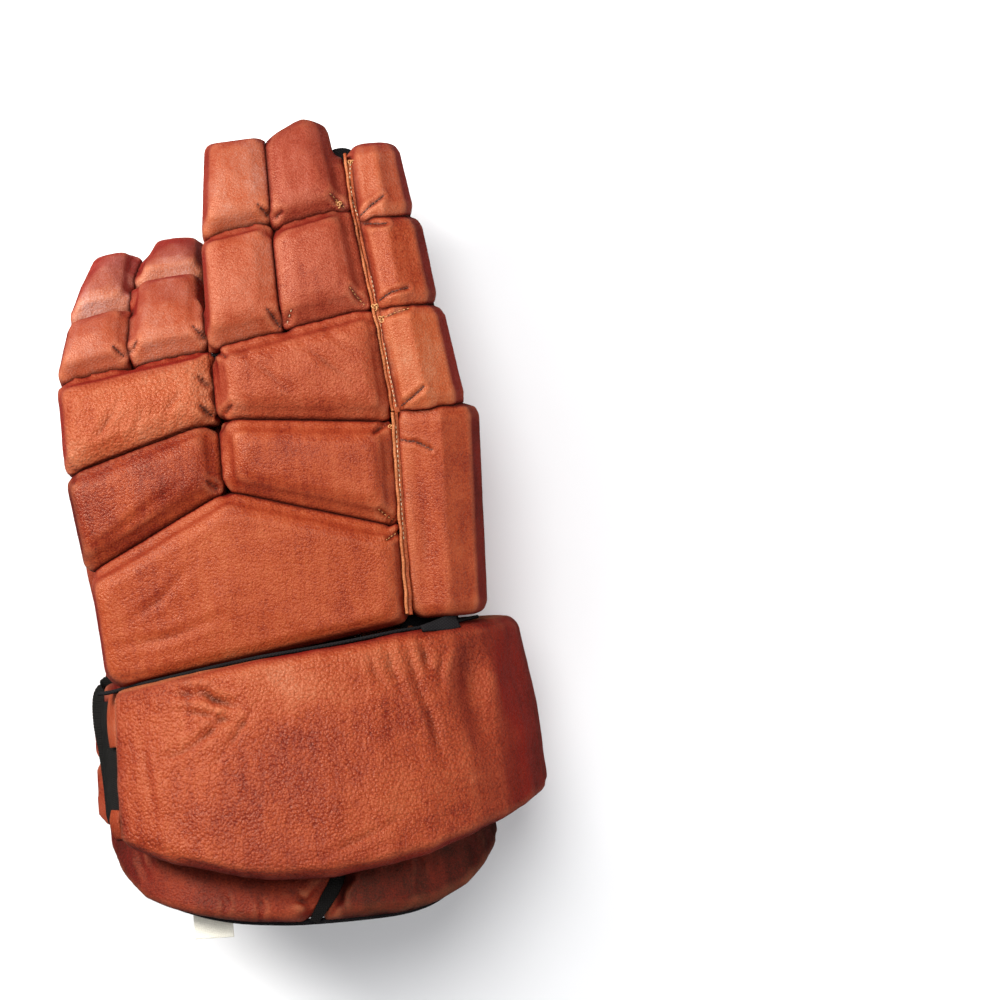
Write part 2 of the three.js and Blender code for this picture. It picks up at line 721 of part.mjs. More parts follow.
// A flat sheet over a table of rows, each a list of points from the little side to the thumb side.
const sheet = (rows, thick) =>
  shell(
    rows.map((row) => row.map(([x, y, z]) => point(x, y, z))),
    rows.map((row) => row.map(([x, y, z]) => point(x, y, z + thick))),
  );

const palmSuede = () =>
  sheet(
    [
      [[-58, 209.6, 29], [-44, 207.6, 33.2], [-16, 215.2, 34.6], [14.8, 223.2, 36], [21.8, 225, 38]],
      [[-58, 220, 31], [-40, 220, 34.6], [-17, 222, 36.4], [-2, 228, 39.4], [21.8, 230, 42]],
      [[-58, 231, 33.6], [-42, 231, 36], [-17, 231.4, 38.4], [-8, 234, 42.4], [21.8, 236.4, 44]],
    ],
    SUEDE,
  );

const thumbWeb = () =>
  sheet(
    [
      [[22.6, 180, 39.8], [40, 180, 40.8], [72, 180, 41.2]],
      [[22.6, 205, 40.4], [40, 205, 41.2], [66, 205, 41.2]],
      [[22.6, 236.4, 44], [40, 236.4, 44.4], [57, 236.4, 44.6]],
    ],
    SUEDE,
  );

// The suede wall between the net and the thumb.
const THUMB_WALL_TOP = [[20.6, 119.8, 28.4], [20.2, 150, 31], [19.4, 186, 34], [19, 222, 37.6]];
const thumbWall = () =>
  shell(
    ...[0, SUEDE].map((inside) =>
      THUMB_WALL_TOP.map(([x, y, z]) => [point(x + 2 + inside, y, 13.8), point(x + inside, y, z)]),
    ),
  );

// The thumb: stations along it, with the left and right edges of its padding, the top of the right wall,
// the underside and the thickness.
const THUMB = {
  base: [
    { y: 119, left: 26, right: 84.4, wall: 40.4, floor: 0, thick: 13 },
    { y: 160, left: 23.4, right: 87.4, wall: 40, floor: 0, thick: 13 },
    { y: 200, left: 22, right: 86.6, wall: 38.7, floor: 0, thick: 13 },
  ],
  tip: [
    { y: 201, left: 22.4, right: 80.4, wall: 35, floor: 0, thick: 13 },
    { y: 225, left: 24, right: 78.4, wall: 34, floor: 0, thick: 13 },
    { y: 245, left: 27, right: 74.4, wall: 31, floor: 1, thick: 12 },
    { y: 260, left: 33, right: 68.4, wall: 27, floor: 4, thick: 10.4 },
    { y: 270, left: 42, right: 60.4, wall: 22, floor: 9, thick: 7 },
  ],
};

function thumbPad(stations, ends) {
  const path = (y, thin, inner) => {
    const at = (name) => lookUp(stations, "y", y, name);
    const floor = at("floor") + thin;
    const thick = at("thick") - thin;
    const low = floor + (inner ? thick : 0);
    const left = at("left") + thin * 0.6;
    const wide = at("right") - thin * 0.6 - left - (inner ? thick : 0);
    const round = inner ? 0.4 : 1;
    const wall = at("wall") - thin * 0.5;
    return [
      [0, inner ? low : floor + thick * 0.75],
      [0.03, inner ? low : floor + thick * 0.25],
      [0.12, low],
      [0.42, low],
      [0.74, low],
      [0.9, low + wide * 0.06 * round],
      [0.985, low + wide * 0.2 * round],
      [1, mix(low, wall, 0.7)],
      [1, wall],
    ].map(([across, z]) => point(left + wide * across, y, z));
  };
  const from = stations[0].y;
  const to = stations.at(-1).y;
  const rows = [
    [from, 5],
    [from + 1.4, 1.6],
    [from + 5, 0],
    ...stations.slice(1, -1).map(({ y }) => [y, 0]),
    ...(ends === "open" ? [[to - 5, 0], [to - 1.4, 1.6], [to, 5]] : [[to, 2]]),
  ];
  return shell(
    rows.map(([y, thin]) => path(y, thin, false)),
    rows.map(([y, thin]) => path(y, thin, true)),
  );
}

function thumbSleeve() {
  const stations = [
    { y: 172, left: 24.6, right: 72.6, low: 14, high: 39 },
    { y: 200, left: 24.6, right: 66.8, low: 14, high: 39.4 },
    { y: 225, left: 26, right: 64.6, low: 14, high: 38.6 },
    { y: 245, left: 29, right: 61.4, low: 14, high: 36.4 },
    { y: 258, left: 34, right: 57, low: 15.4, high: 33.4 },
  ];
  const ring = (y, beyond, shrink) => {
    const at = (name) => lookUp(stations, "y", y, name);
    const [cx, half] = [(at("left") + at("right")) / 2, (at("right") - at("left")) / 2 - shrink];
    const [low, high] = [at("low") + shrink, at("high") - shrink];
    return FINGER_ROUND.map(([across, down]) =>
      point(cx + across * half, y + beyond, mix(high, low, down)),
    );
  };
  const ys = stations.map(({ y }) => y);
  return stack([
    ring(258, 1, 6),
    ...ys.slice().reverse().map((y) => ring(y, 0, CLOTH)),
    ...ys.map((y) => ring(y, 0, 0)),
    ring(258, 4, 3),
    ring(258, 6, 7.4),
  ]);
}

// A woven tape's section: shares of its width and of its thickness.
const TAPE_SECTION = [
  [-0.5, -0.3], [-0.5, 0.3], [-0.2, 0.5], [0.2, 0.5], [0.5, 0.3], [0.5, -0.3], [0.2, -0.5], [-0.2, -0.5],
];

// A woven tape folded over an edge: it follows a list of places, each with the direction across the tape.
function tape(places, width, thick) {
  const centre = places.map((p) => point(...p.at));
  return stack(
    places.map((place, i) => {
      const before = centre[Math.max(i - 1, 0)];
      const after = centre[Math.min(i + 1, places.length - 1)];
      const along = after.clone().sub(before).normalize();
      const across = point(...place.across).normalize();
      const off = along.clone().cross(across).normalize();
      return TAPE_SECTION.map(([w, t]) =>
        centre[i].clone().addScaledVector(across, w * width).addScaledVector(off, t * thick),
      );
    }),
  );
}

// Along the thumb it edges its padding on both sides, and along the index finger the side blocks.
const thumbInnerStations = [...THUMB.base.slice(0, 2), ...THUMB.tip.slice(0, -1)];
const thumbInnerPlaces = thumbInnerStations.map(({ y, left, floor }) => ({
  at: [left - 2, y, floor + 7.4],
  across: [0, 0, 1],
}));
const thumbOuterPlaces = THUMB.tip.map(({ y, right, wall, thick }) => ({
  at: [right - thick * 0.6, y + 1, wall + 1.6],
  across: [1, 0, 0],
}));
const indexSidePlaces = ["index_side_base", "index_side_mid", "index_side_tip"].flatMap((name) =>
  SIDE_BLOCKS[name].map(({ y, outer, wall }) => {
    const crest = COLUMN.thumbSide.at(ARCH.crest, COLUMN.thumbSide.along(y), 0).z;
    return { at: [outer - 4.6, y, crest - wall - 6.2], across: [1, 0, 1] };
  }),
);
const TAPES = {
  thumb_inner_tape: { width: 10, thick: 3.2, places: thumbInnerPlaces },
  thumb_outer_tape: { width: 8, thick: 2.6, places: thumbOuterPlaces },
  index_side_tape: { width: 8, thick: 2.4, places: indexSidePlaces },
  little_side_tape: {
    width: 10,
    thick: 3.2,
    places: [
      { at: [-53.4, 121.7, 19.8], across: [0.9, 0, 0.7] },
      { at: [-53.8, 140, 20.6], across: [0.9, 0, 0.7] },
      { at: [-53.6, 170, 22.6], across: [0.9, 0, 0.7] },
      { at: [-52.6, 196, 25.4], across: [0.9, 0, 0.7] },
      { at: [-50.4, 206, 27.4], across: [0.9, 0.3, 0.7] },
    ],
  },
  wrist_tape: {
    width: 12,
    thick: 3,
    places: [
      { at: [19.8, 117, 18.6], across: [0, 0.7, 0.8] },
      { at: [-10, 117, 18.6], across: [0, 0.7, 0.8] },
      { at: [-44, 117, 18.6], across: [0, 0.7, 0.8] },
      { at: [-60, 117.4, 22], across: [0.3, 0.5, 0.8] },
    ],
  },
};

// Raw leather edges sewn together, which stand up along the seam beside the blocks of the back.
const SEAMS = {
  index_seam: [[57.3, 206], [53.1, 246], [48.1, 285], [46.4, 310]],
  back_seam: [[56, 121], [56.2, 160], [57, 203]],
};
const seam = (places) =>
  tape(
    places.map(([x, y]) => ({ at: [x, y, COLUMN.thumbSide.under(x, y, 11.4).z], across: [0, 0, 1] })),
    17,
    2.6,
  );

// A blank loop of cream tape sewn into the rim, on the back.
const rimLabel = () =>
  tape(
    [
      { at: [-33, 14, 86.4], across: [1, 0, 0.33] },
      { at: [-33, 4, 87.4], across: [1, 0, 0.33] },
      { at: [-33, -4, 87.4], across: [1, 0, 0.33] },
    ],
    17,
    1.2,
  );

const leather = new THREE.MeshStandardMaterial({ color: 0x9e4523, roughness: 0.45, metalness: 0 });
const cloth = new THREE.MeshStandardMaterial({ color: 0x1c1a1b, roughness: 0.85, metalness: 0 });
const suede = new THREE.MeshStandardMaterial({ color: 0xb9b6ae, roughness: 0.9, metalness: 0 });
const webbing = new THREE.MeshStandardMaterial({ color: 0x24211f, roughness: 0.75, metalness: 0 });
const cream = new THREE.MeshStandardMaterial({ color: 0xe8e2d2, roughness: 0.8, metalness: 0 });

const glove = new THREE.Group();
function add(name, geometry, material) {
  const mesh = new THREE.Mesh(geometry, material);
  mesh.name = name;
  glove.add(mesh);
}

for (const [name, spec] of Object.entries(BLOCKS)) add(name, block(spec), leather);
for (const [name, stations] of Object.entries(SIDE_BLOCKS)) add(name, sideBlock(stations), leather);
for (const [name, stations] of Object.entries(LITTLE_SIDE_BLOCKS)) {
  add(name, littleSideBlock(stations), leather);
}
add("cuff_roll", cuffRoll(), leather);
add("cuff_lower_thumb", lowerCuff(-81, RIM_SLIT - 1.5), leather);
add("cuff_lower_little", lowerCuff(RIM_SLIT + 1.5, 185), leather);
add("cuff_palm_panel", palmPanel(), leather);
add("cuff_lining", cuffLining(), cloth);
add("cuff_elastic", cuffElastic(), webbing);
add("thumb_base_pad", thumbPad(THUMB.base, "open"), leather);
add("thumb_tip_pad", thumbPad(THUMB.tip, "closed"), leather);
add("thumb_sleeve", thumbSleeve(), cloth);
add("thumb_web", thumbWeb(), suede);
add("thumb_wall", thumbWall(), suede);
add("hand_lining", handLining(), cloth);
add("palm_net", net(), cloth);
add("palm_suede", palmSuede(), suede);
for (const [name, finger] of Object.entries(SLEEVES)) {
  add(name + "_sleeve", sleeve(finger), cloth);
  add(name + "_facing", fingerFacing(finger), suede);
}
for (const [name, spec] of Object.entries(TAPES)) {
  add(name, tape(spec.places, spec.width, spec.thick), webbing);
}
for (const [name, places] of Object.entries(SEAMS)) add(name, seam(places), leather);
add("rim_label", rimLabel(), cream);

// The origin is on the ground under the middle of the glove.
const extent = new THREE.Box3().setFromObject(glove);
const centre = extent.getCenter(new THREE.Vector3());
glove.position.set(-centre.x, -centre.y, -extent.min.z);

export default glove;
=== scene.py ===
# %% [markdown]
# # An ice hockey glove for the left hand
# The glove lies on its palm and is seen from above, with its cuff towards the viewer. Its back is a
# set of foam blocks under tan leather. The fingers are black cloth sleeves under those blocks, the
# palm is grey suede with a net, and black woven tape binds the edges. The solids in the frame hold
# the places of all pieces. This script gives each one its real surface. It works in metres; the
# tables are in millimetres of the glove's drawing.

import math

import bmesh
import bpy
import numpy as np
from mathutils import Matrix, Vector, kdtree, noise
from mathutils.bvhtree import BVHTree


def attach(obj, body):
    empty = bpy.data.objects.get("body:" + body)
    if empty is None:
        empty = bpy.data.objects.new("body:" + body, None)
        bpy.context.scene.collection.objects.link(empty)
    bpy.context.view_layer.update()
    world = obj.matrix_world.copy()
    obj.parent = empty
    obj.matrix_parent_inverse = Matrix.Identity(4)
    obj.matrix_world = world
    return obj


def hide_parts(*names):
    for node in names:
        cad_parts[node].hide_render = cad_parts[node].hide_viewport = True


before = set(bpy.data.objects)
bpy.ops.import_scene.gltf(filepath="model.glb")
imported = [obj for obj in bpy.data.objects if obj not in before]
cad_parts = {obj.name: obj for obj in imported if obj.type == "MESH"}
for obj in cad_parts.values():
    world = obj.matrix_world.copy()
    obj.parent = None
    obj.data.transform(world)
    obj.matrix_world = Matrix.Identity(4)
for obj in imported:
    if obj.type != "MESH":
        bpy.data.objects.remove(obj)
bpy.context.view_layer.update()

# %% The drawing's millimetres in metres of the frame
MM = 0.001
DRAWING_ZERO = np.array([-12.6663, -162.1787, 0.0])


def spots(points):
    """Rows of drawing millimetres as an array in metres of the frame."""
    return (np.asarray(points, float) + DRAWING_ZERO) * MM


def plan(points):
    """The same for places in plan."""
    return (np.asarray(points, float) + DRAWING_ZERO[:2]) * MM


def drawn(places):
    """The way back, from metres of the frame to millimetres of the drawing."""
    return np.asarray(places) / MM - DRAWING_ZERO


# %% [markdown]
# The photograph looks straight down on the glove from far off, and the glove lies a little turned
# in it. A long lens high above keeps its outline as a drawing would. The camera's place comes from
# the photograph's scale, which the size of the glove gives, and from the point of the glove that
# lies at the middle of the picture.

# %% Camera
PICTURE_WIDTH = 412.5  # millimetres of the glove's plane across the picture
PICTURE_TURN = math.radians(5)
PICTURE_MIDDLE = (97.2, 164.6)
CAMERA_HEIGHT = 3.2
FOCUS_HEIGHT = 0.07

lens_data = bpy.data.cameras.new("camera")
lens_data.lens = lens_data.sensor_width * (CAMERA_HEIGHT - FOCUS_HEIGHT) / (PICTURE_WIDTH * MM)
camera = bpy.data.objects.new("camera", lens_data)
camera.location = (*plan([PICTURE_MIDDLE])[0], CAMERA_HEIGHT)
camera.rotation_euler = (0, 0, -PICTURE_TURN)
bpy.context.scene.collection.objects.link(camera)
bpy.context.scene.camera = camera
print("lens:", round(lens_data.lens), "mm")

# %% [markdown]
# Leather shows its grain and its creases in the soft edge between light and shade, so one broad
# light stands to the left of the glove, weak ones light its right side and its rim, and a wide one
# hangs above. The room's own light fills the shade.

# %% Lights
LIGHTS = [
    # name, place in metres, width, watts, colour
    ("light_left", (-1.0, 0.8, 0.95), 0.6, 35, (1.0, 0.985, 0.96)),
    ("light_above", (0.0, 0.6, 1.7), 1.1, 24, (1.0, 1.0, 1.0)),
    ("light_right", (1.3, -0.2, 0.6), 0.6, 5, (1.0, 0.985, 0.97)),
    ("light_front", (-0.4, -1.3, 0.8), 0.8, 3, (1.0, 0.99, 0.98)),
]


def linked(name, data):
    """A new object for the data, in the scene."""
    made = bpy.data.objects.new(name, data)
    bpy.context.scene.collection.objects.link(made)
    return made


for name, place, width, watts, colour in LIGHTS:
    data = bpy.data.lights.new(name, "AREA")
    data.shape, data.size, data.energy, data.color = "DISK", width, watts, colour
    light = linked(name, data)
    light.location = place
    light.rotation_euler = (-Vector(place)).to_track_quat("-Z", "Y").to_euler()

world = bpy.data.worlds.new("studio")
world.use_nodes = True
room_light = world.node_tree.nodes["Background"].inputs
room_light["Color"].default_value = (0.93, 0.95, 1.0, 1)
room_light["Strength"].default_value = 0.45
bpy.context.scene.world = world
world.cycles_visibility.glossy = False  # the leather doesn't mirror the room beyond the lights
bpy.context.scene.view_settings.view_transform = "Standard"
print("lights:", len(LIGHTS))

# %% [markdown]
# A finish is a tree of nodes, and a tree is long to write out. The short helpers here add a node,
# set its inputs or join them to other nodes, and give back the socket that the next node needs.

# %% A short way to write a shader's nodes
def add(tree, kind, inputs=(), **settings):
    """Adds a node. An input is set to a number or colour, or joined to another node's socket."""
    made = tree.nodes.new(kind)
    for key, value in settings.items():
        setattr(made, key, value)
    for key, value in dict(inputs).items():
        if isinstance(value, bpy.types.NodeSocket):
            tree.links.new(value, made.inputs[key])
        else:
            made.inputs[key].default_value = value
    return made


def math_node(tree, operation, a, b=0.0, clamp=False):
    return add(tree, "ShaderNodeMath", {0: a, 1: b}, operation=operation, use_clamp=clamp).outputs[0]


def weighed(tree, number, share, clamp=False):
    return math_node(tree, "MULTIPLY", number, share, clamp=clamp)


def plus(tree, number, more):
    return math_node(tree, "ADD", number, more)


def noise_node(tree, where, scale, detail=3.0, rough=0.5, warp=0.0):
    inputs = {"Vector": where, "Scale": scale, "Detail": detail, "Roughness": rough, "Distortion": warp}
    return add(tree, "ShaderNodeTexNoise", inputs).outputs["Fac"]


def ramp(tree, factor, stops):
    """Colours at places along a number from 0 to 1."""
    made = add(tree, "ShaderNodeValToRGB", {"Fac": factor})
    ends = made.color_ramp.elements
    while len(ends) < len(stops):
        ends.new(0.5)
    for element, (place, colour) in zip(ends, stops):
        element.position, element.color = place, (*colour, 1)
    return made.outputs["Color"]


def blend_node(tree, factor, a, b, how="MIX"):
    inputs = {"Factor": factor, 6: a, 7: b}
    return add(tree, "ShaderNodeMix", inputs, data_type="RGBA", blend_type=how).outputs[2]


def bump(tree, height, depth, below=None):
    """Relief of that depth in metres, on top of another relief."""
    inputs = {"Height": height, "Distance": depth, "Strength": 1.0}
    if below is not None:
        inputs["Normal"] = below
    return add(tree, "ShaderNodeBump", inputs).outputs["Normal"]


def finish_named(name, **surface):
    """A material with its principled shader and the place on the object, which every pattern reads."""
    material = bpy.data.materials.new(name)
    material.use_nodes = True
    tree = material.node_tree
    shader = tree.nodes["Principled BSDF"]
    for key, value in surface.items():
        shader.inputs[key.replace("_", " ")].default_value = value
    where = add(tree, "ShaderNodeTexCoord").outputs["Object"]
    return material, tree, shader, where


def attribute(tree, name):
    return add(tree, "ShaderNodeAttribute", attribute_name=name).outputs["Fac"]


# %% [markdown]
# The floor is a pale sheet with a faint cloud in it, less than half a millimetre under the lowest
# solid. The leather doesn't mirror it, because its reflection would veil the sides of the pads.

# %% Floor
FLOOR_REACH = 6.0
FLOOR_LEVEL = -0.0004

floor_finish, tree, shader, where = finish_named("pale_floor", Roughness=0.6)
cloud = ramp(tree, noise_node(tree, where, 9.0, 4), [(0.3, (0.87, 0.87, 0.87)), (0.7, (0.9, 0.9, 0.9))])
tree.links.new(cloud, shader.inputs["Base Color"])
corners = [(x * FLOOR_REACH, y * FLOOR_REACH, 0) for x, y in ((-1, -1), (1, -1), (1, 1), (-1, 1))]
floor_mesh = bpy.data.meshes.new("floor")
floor_mesh.from_pydata(corners, [], [(0, 1, 2, 3)])
floor_mesh.materials.append(floor_finish)
floor = linked("floor", floor_mesh)
floor.location.z = FLOOR_LEVEL
floor.visible_glossy = False
print("floor:", 2 * FLOOR_REACH, "m wide")

# %% [markdown]
# The leather is a full-grain cowhide, dyed a burnt orange by hand, so no two panels have the same
# tone. A noise in several sizes and faint brushed streaks mix a red brown with a lighter tan. The
# grain is a fine cell pattern, and a coarser one makes pebbles. Numbers stored on the mesh steer
# the finish:
#
# - "tone" is the panel's own shade, and "red" is how much redder it is dyed. The tones also hold
#   painted light: high tones make the fingers' blocks lighter, as if lit more, and low tones paint
#   shade on the pads under the roll and on the leather in the grooves.
# - "side" is high where the skin turns down. There the leather is darker and redder, partly as it
#   is burnished and partly as painted shade.
# - "ridge" is high on edges, which are lighter, partly where the leather is rubbed and partly as a
#   painted highlight, and low in creases, darts and grooves, which get painted shade.
# - "pebble" says where the hide is coarse, and "raw" where its pale cut edge shows.

# %% Leather
# The palest stops are reached by the high tones that paint a highlight on the finger tips, and the
# darkest by the low tones that paint shade.
LEATHER_TONES = [
    (0.0, (0.045, 0.0035, 0.002)),
    (0.2, (0.135, 0.01, 0.004)),
    (0.4, (0.25, 0.036, 0.0095)),
    (0.55, (0.3, 0.06, 0.019)),
    (0.7, (0.33, 0.096, 0.042)),
    (0.85, (0.39, 0.165, 0.095)),
    (1.0, (0.46, 0.25, 0.17)),
]
# Edges get a paler colour, partly rubbed leather and partly a painted highlight. Creases, darts and
# grooves get a dark one as painted shade.
RUBBED_SHEEN, RUBBED_SHEEN_SHARE = (0.5, 0.17, 0.075, 1), 0.32
CREASE_SHADE, CREASE_SHADE_SHARE = (0.03, 0.003, 0.002, 1), 0.9
RAW_EDGE, RAW_SHARE = (0.42, 0.145, 0.055, 1), 1.6
SHINE = {"Roughness": 0.45, "Specular_IOR_Level": 0.36, "Specular_Tint": (1.0, 0.6, 0.42, 1)}
RED_DYE = (0.9, 0.97, 1.8, 1)
# Sides that turn down are darker and redder, partly burnished and partly painted shade.
BURNISH_AND_SIDE_SHADE = (0.54, 0.05, 0.04, 1)
MIDDLE_TONE, TONE_SHARE = 0.405, 0.21  # where tone 0 is among the tones, and how far tone 1 is from it
TONE_STEPS = {21.0: 0.6, 75.0: 0.32, 600.0: 0.16, 1700.0: 0.4}  # how strong the noise of each scale is
STREAK_SCALE, STREAK_SHARE, STREAK_TURN, STREAK_STRETCH = 260.0, 0.3, 0.7, (1.0, 0.09, 0.6)
GRAIN, PEBBLES = (1350.0, 0.62, 0.2), (760.0, 0.0, 0.13)  # scale, middle of the height, strength
PEBBLE_DARKER = 0.08
BEND_RELIEF, PEBBLE_RELIEF, GRAIN_RELIEF, SPECK_RELIEF = 0.0004, 0.0005, 0.00017, 0.0001  # metres
GLOSSY, PATCHY, SIDE_DULL = 0.22, 0.28, 0.4  # the least roughness, and what patches and sides add


def domes(tree, where, scale):
    """Small domes side by side, as the grain of a hide."""
    cells = add(tree, "ShaderNodeTexVoronoi", {"Vector": where, "Scale": scale})
    return math_node(tree, "SUBTRACT", 1.0, cells.outputs[0])


leather, tree, shader, where = finish_named("tan_leather", **SHINE)
tone = plus(tree, weighed(tree, attribute(tree, "tone"), TONE_SHARE), MIDDLE_TONE)
stretched = {"Vector": where, "Rotation": (0, 0, STREAK_TURN), "Scale": STREAK_STRETCH}
brushed = add(tree, "ShaderNodeMapping", stretched).outputs[0]
coarse = attribute(tree, "pebble")
grain = domes(tree, where, GRAIN[0])
pebbles = weighed(tree, domes(tree, where, PEBBLES[0]), coarse)
layers = [
    (noise_node(tree, where, scale, 4, 0.6, 0.3), 0.5, share) for scale, share in TONE_STEPS.items()
]
patches, specks = layers[1][0], layers[3][0]
layers.append((noise_node(tree, brushed, STREAK_SCALE, 3, 0.6), 0.5, STREAK_SHARE))
layers += [(grain, *GRAIN[1:]), (pebbles, *PEBBLES[1:])]
for layer, middle, share in layers:
    tone = plus(tree, tone, weighed(tree, math_node(tree, "SUBTRACT", layer, middle), share))
tone = math_node(tree, "SUBTRACT", tone, weighed(tree, coarse, PEBBLE_DARKER))

ridge = attribute(tree, "ridge")
colour = ramp(tree, tone, LEATHER_TONES)
colour = blend_node(tree, attribute(tree, "red"), colour, RED_DYE, "MULTIPLY")
# Darker sides: partly burnished, partly painted shade.
colour = blend_node(tree, attribute(tree, "side"), colour, BURNISH_AND_SIDE_SHADE, "MULTIPLY")
# Painted highlight on edges, and painted shade in creases, darts and grooves.
colour = blend_node(tree, weighed(tree, ridge, RUBBED_SHEEN_SHARE, clamp=True), colour, RUBBED_SHEEN)
colour = blend_node(tree, weighed(tree, ridge, -CREASE_SHADE_SHARE, clamp=True), colour, CREASE_SHADE)
fuzz = weighed(tree, attribute(tree, "raw"), weighed(tree, specks, RAW_SHARE), clamp=True)
colour = blend_node(tree, fuzz, colour, RAW_EDGE)
tree.links.new(colour, shader.inputs["Base Color"])

relief = bump(tree, noise_node(tree, where, 60.0, 3, 0.5, 0.5), BEND_RELIEF)
for height, depth in ((pebbles, PEBBLE_RELIEF), (grain, GRAIN_RELIEF), (specks, SPECK_RELIEF)):
    relief = bump(tree, height, depth, relief)
tree.links.new(relief, shader.inputs["Normal"])
dull = plus(tree, weighed(tree, patches, PATCHY), GLOSSY)
dull = plus(tree, dull, weighed(tree, attribute(tree, "side"), SIDE_DULL))
tree.links.new(dull, shader.inputs["Roughness"])
print("leather nodes:", len(tree.nodes))

# %% [markdown]
# The other finishes are a black knit for the sleeves and the lining, a black yarn for the net, a
# grey-white suede that the light catches on its nap, a black woven tape, sewing thread in tan, in a
# paler tan and in dark brown, and a cream label tape. A woven cloth is two crossing waves,
# multiplied.

# %% Cloth, suede, tape and thread
def woven(name, colours, scale, depth, roughness, sheen=0.0, twist=45.0):
    """A cloth of two crossing sets of yarns, in two colours that change slowly."""
    look = {"Roughness": roughness, "Sheen_Weight": sheen, "Specular_IOR_Level": 0.1}
    material, tree, shader, where = finish_named(name, **look)
    turn = {"Vector": where, "Rotation": (0.3, 0.2, math.radians(twist))}
    turned = add(tree, "ShaderNodeMapping", turn).outputs[0]
    wave = {"Vector": turned, "Scale": scale, "Distortion": 0.4, "Detail": 1.0}
    warp, weft = [add(tree, "ShaderNodeTexWave", wave, bands_direction=axis) for axis in ("X", "Y")]
    weave = weighed(tree, warp.outputs["Fac"], weft.outputs["Fac"])
    slow = noise_node(tree, where, 60.0, 4, 0.6)
    factor = plus(tree, weighed(tree, weave, 0.4), weighed(tree, slow, 0.6))
    tree.links.new(ramp(tree, factor, list(zip((0.2, 0.8), colours))), shader.inputs["Base Color"])
    tree.links.new(bump(tree, weave, depth), shader.inputs["Normal"])
    return material


KNIT_BLACKS = [(0.005, 0.0045, 0.005), (0.018, 0.016, 0.017)]
NET_BLACKS = [(0.006, 0.006, 0.006), (0.022, 0.021, 0.021)]
TAPE_BLACKS = [(0.004, 0.0037, 0.0034), (0.017, 0.0155, 0.014)]
CREAMS = [(0.72, 0.69, 0.58), (0.86, 0.83, 0.73)]
knit = woven("black_knit", KNIT_BLACKS, 330.0, 0.0002, 0.85)
net_yarn = woven("black_net", NET_BLACKS, 500.0, 0.0001, 0.55, 0.1)
tape_yarn = woven("black_tape", TAPE_BLACKS, 420.0, 0.0002, 0.9, 0.0, 8.0)
cream_tape = woven("cream_tape", CREAMS, 420.0, 0.0001, 0.8, 0.0, 0.0)

suede, tree, shader, where = finish_named("grey_suede", Roughness=0.92, Sheen_Weight=0.35)
nap = noise_node(tree, where, 700.0, 4, 0.7)
brushed = noise_node(tree, where, 45.0, 4, 0.55, 0.5)
shade = plus(tree, weighed(tree, nap, 0.45), weighed(tree, brushed, 0.55))
nap_colour = ramp(tree, shade, [(0.3, (0.36, 0.35, 0.33)), (0.7, (0.62, 0.61, 0.58))])
tree.links.new(nap_colour, shader.inputs["Base Color"])
tree.links.new(bump(tree, nap, 0.00025), shader.inputs["Normal"])


def thread(name, dark, light):
    """Twisted sewing thread."""
    material, tree, shader, where = finish_named(name, Roughness=0.55)
    twist = noise_node(tree, where, 1300.0, 2)
    tree.links.new(ramp(tree, twist, [(0.35, dark), (0.65, light)]), shader.inputs["Base Color"])
    tree.links.new(bump(tree, twist, 0.0001), shader.inputs["Normal"])
    return material


tan_thread = thread("tan_thread", (0.34, 0.12, 0.035), (0.62, 0.32, 0.11))
pale_thread = thread("pale_thread", (0.42, 0.25, 0.13), (0.68, 0.5, 0.32))
dark_thread = thread("dark_thread", (0.03, 0.008, 0.006), (0.12, 0.03, 0.018))
print("finishes:", len(bpy.data.materials))

# %% [markdown]
# A leather pad is made from its solid. A voxel remesh turns the flat facets into an even skin of
# small faces, and smoothing that skin rounds each edge as leather does over foam. Then the pad
# swells a little, and creases, darts and small waves are pushed into it. Numbers for each vertex
# are kept as arrays, because they are far quicker.

# %% Tools for a skin
def points_of(mesh):
    co = np.empty(len(mesh.vertices) * 3, np.float32)
    mesh.vertices.foreach_get("co", co)
    return co.reshape(-1, 3).astype(float)


def set_points(mesh, co):
    mesh.vertices.foreach_set("co", co.astype(np.float32).ravel())
    mesh.update()


def normals_of(mesh):
    out = np.empty(len(mesh.vertices) * 3, np.float32)
    mesh.vertices.foreach_get("normal", out)
    return out.reshape(-1, 3).astype(float)


def edges_of(mesh):
    pairs = np.empty(len(mesh.edges) * 2, np.int32)
    mesh.edges.foreach_get("vertices", pairs)
    return pairs.reshape(-1, 2)


def softened(co, pairs, times, share=0.5):
    """Each point moves towards the middle of its neighbours, many times."""
    a, b = pairs.T
    n = len(co)
    count = np.maximum(np.bincount(a, minlength=n) + np.bincount(b, minlength=n), 1)[:, None]
    for _ in range(times):
        total = [np.bincount(a, row[b], n) + np.bincount(b, row[a], n) for row in co.T]
        co = co + share * (np.stack(total, axis=1) / count - co)
    return co


def merged_copy(node, name):
    """The solid's mesh with its loose triangles merged, in a new object."""
    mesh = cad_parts[node].data.copy()
    mesh.materials.clear()
    work = bmesh.new()
    work.from_mesh(mesh)
    bmesh.ops.remove_doubles(work, verts=work.verts, dist=1e-5)
    work.to_mesh(mesh)
    work.free()
    return linked(name, mesh)


def applied(piece):
    """The piece with its modifiers turned into plain mesh."""
    bpy.context.view_layer.update()
    evaluated = piece.evaluated_get(bpy.context.evaluated_depsgraph_get())
    mesh = bpy.data.meshes.new_from_object(evaluated)
    piece.modifiers.clear()
    old, piece.data = piece.data, mesh
    bpy.data.meshes.remove(old)
    mesh.name = piece.name
    return piece


def remeshed(piece, voxel):
    made = piece.modifiers.new("remesh", "REMESH")
    made.mode, made.voxel_size = "VOXEL", voxel
    return applied(piece)


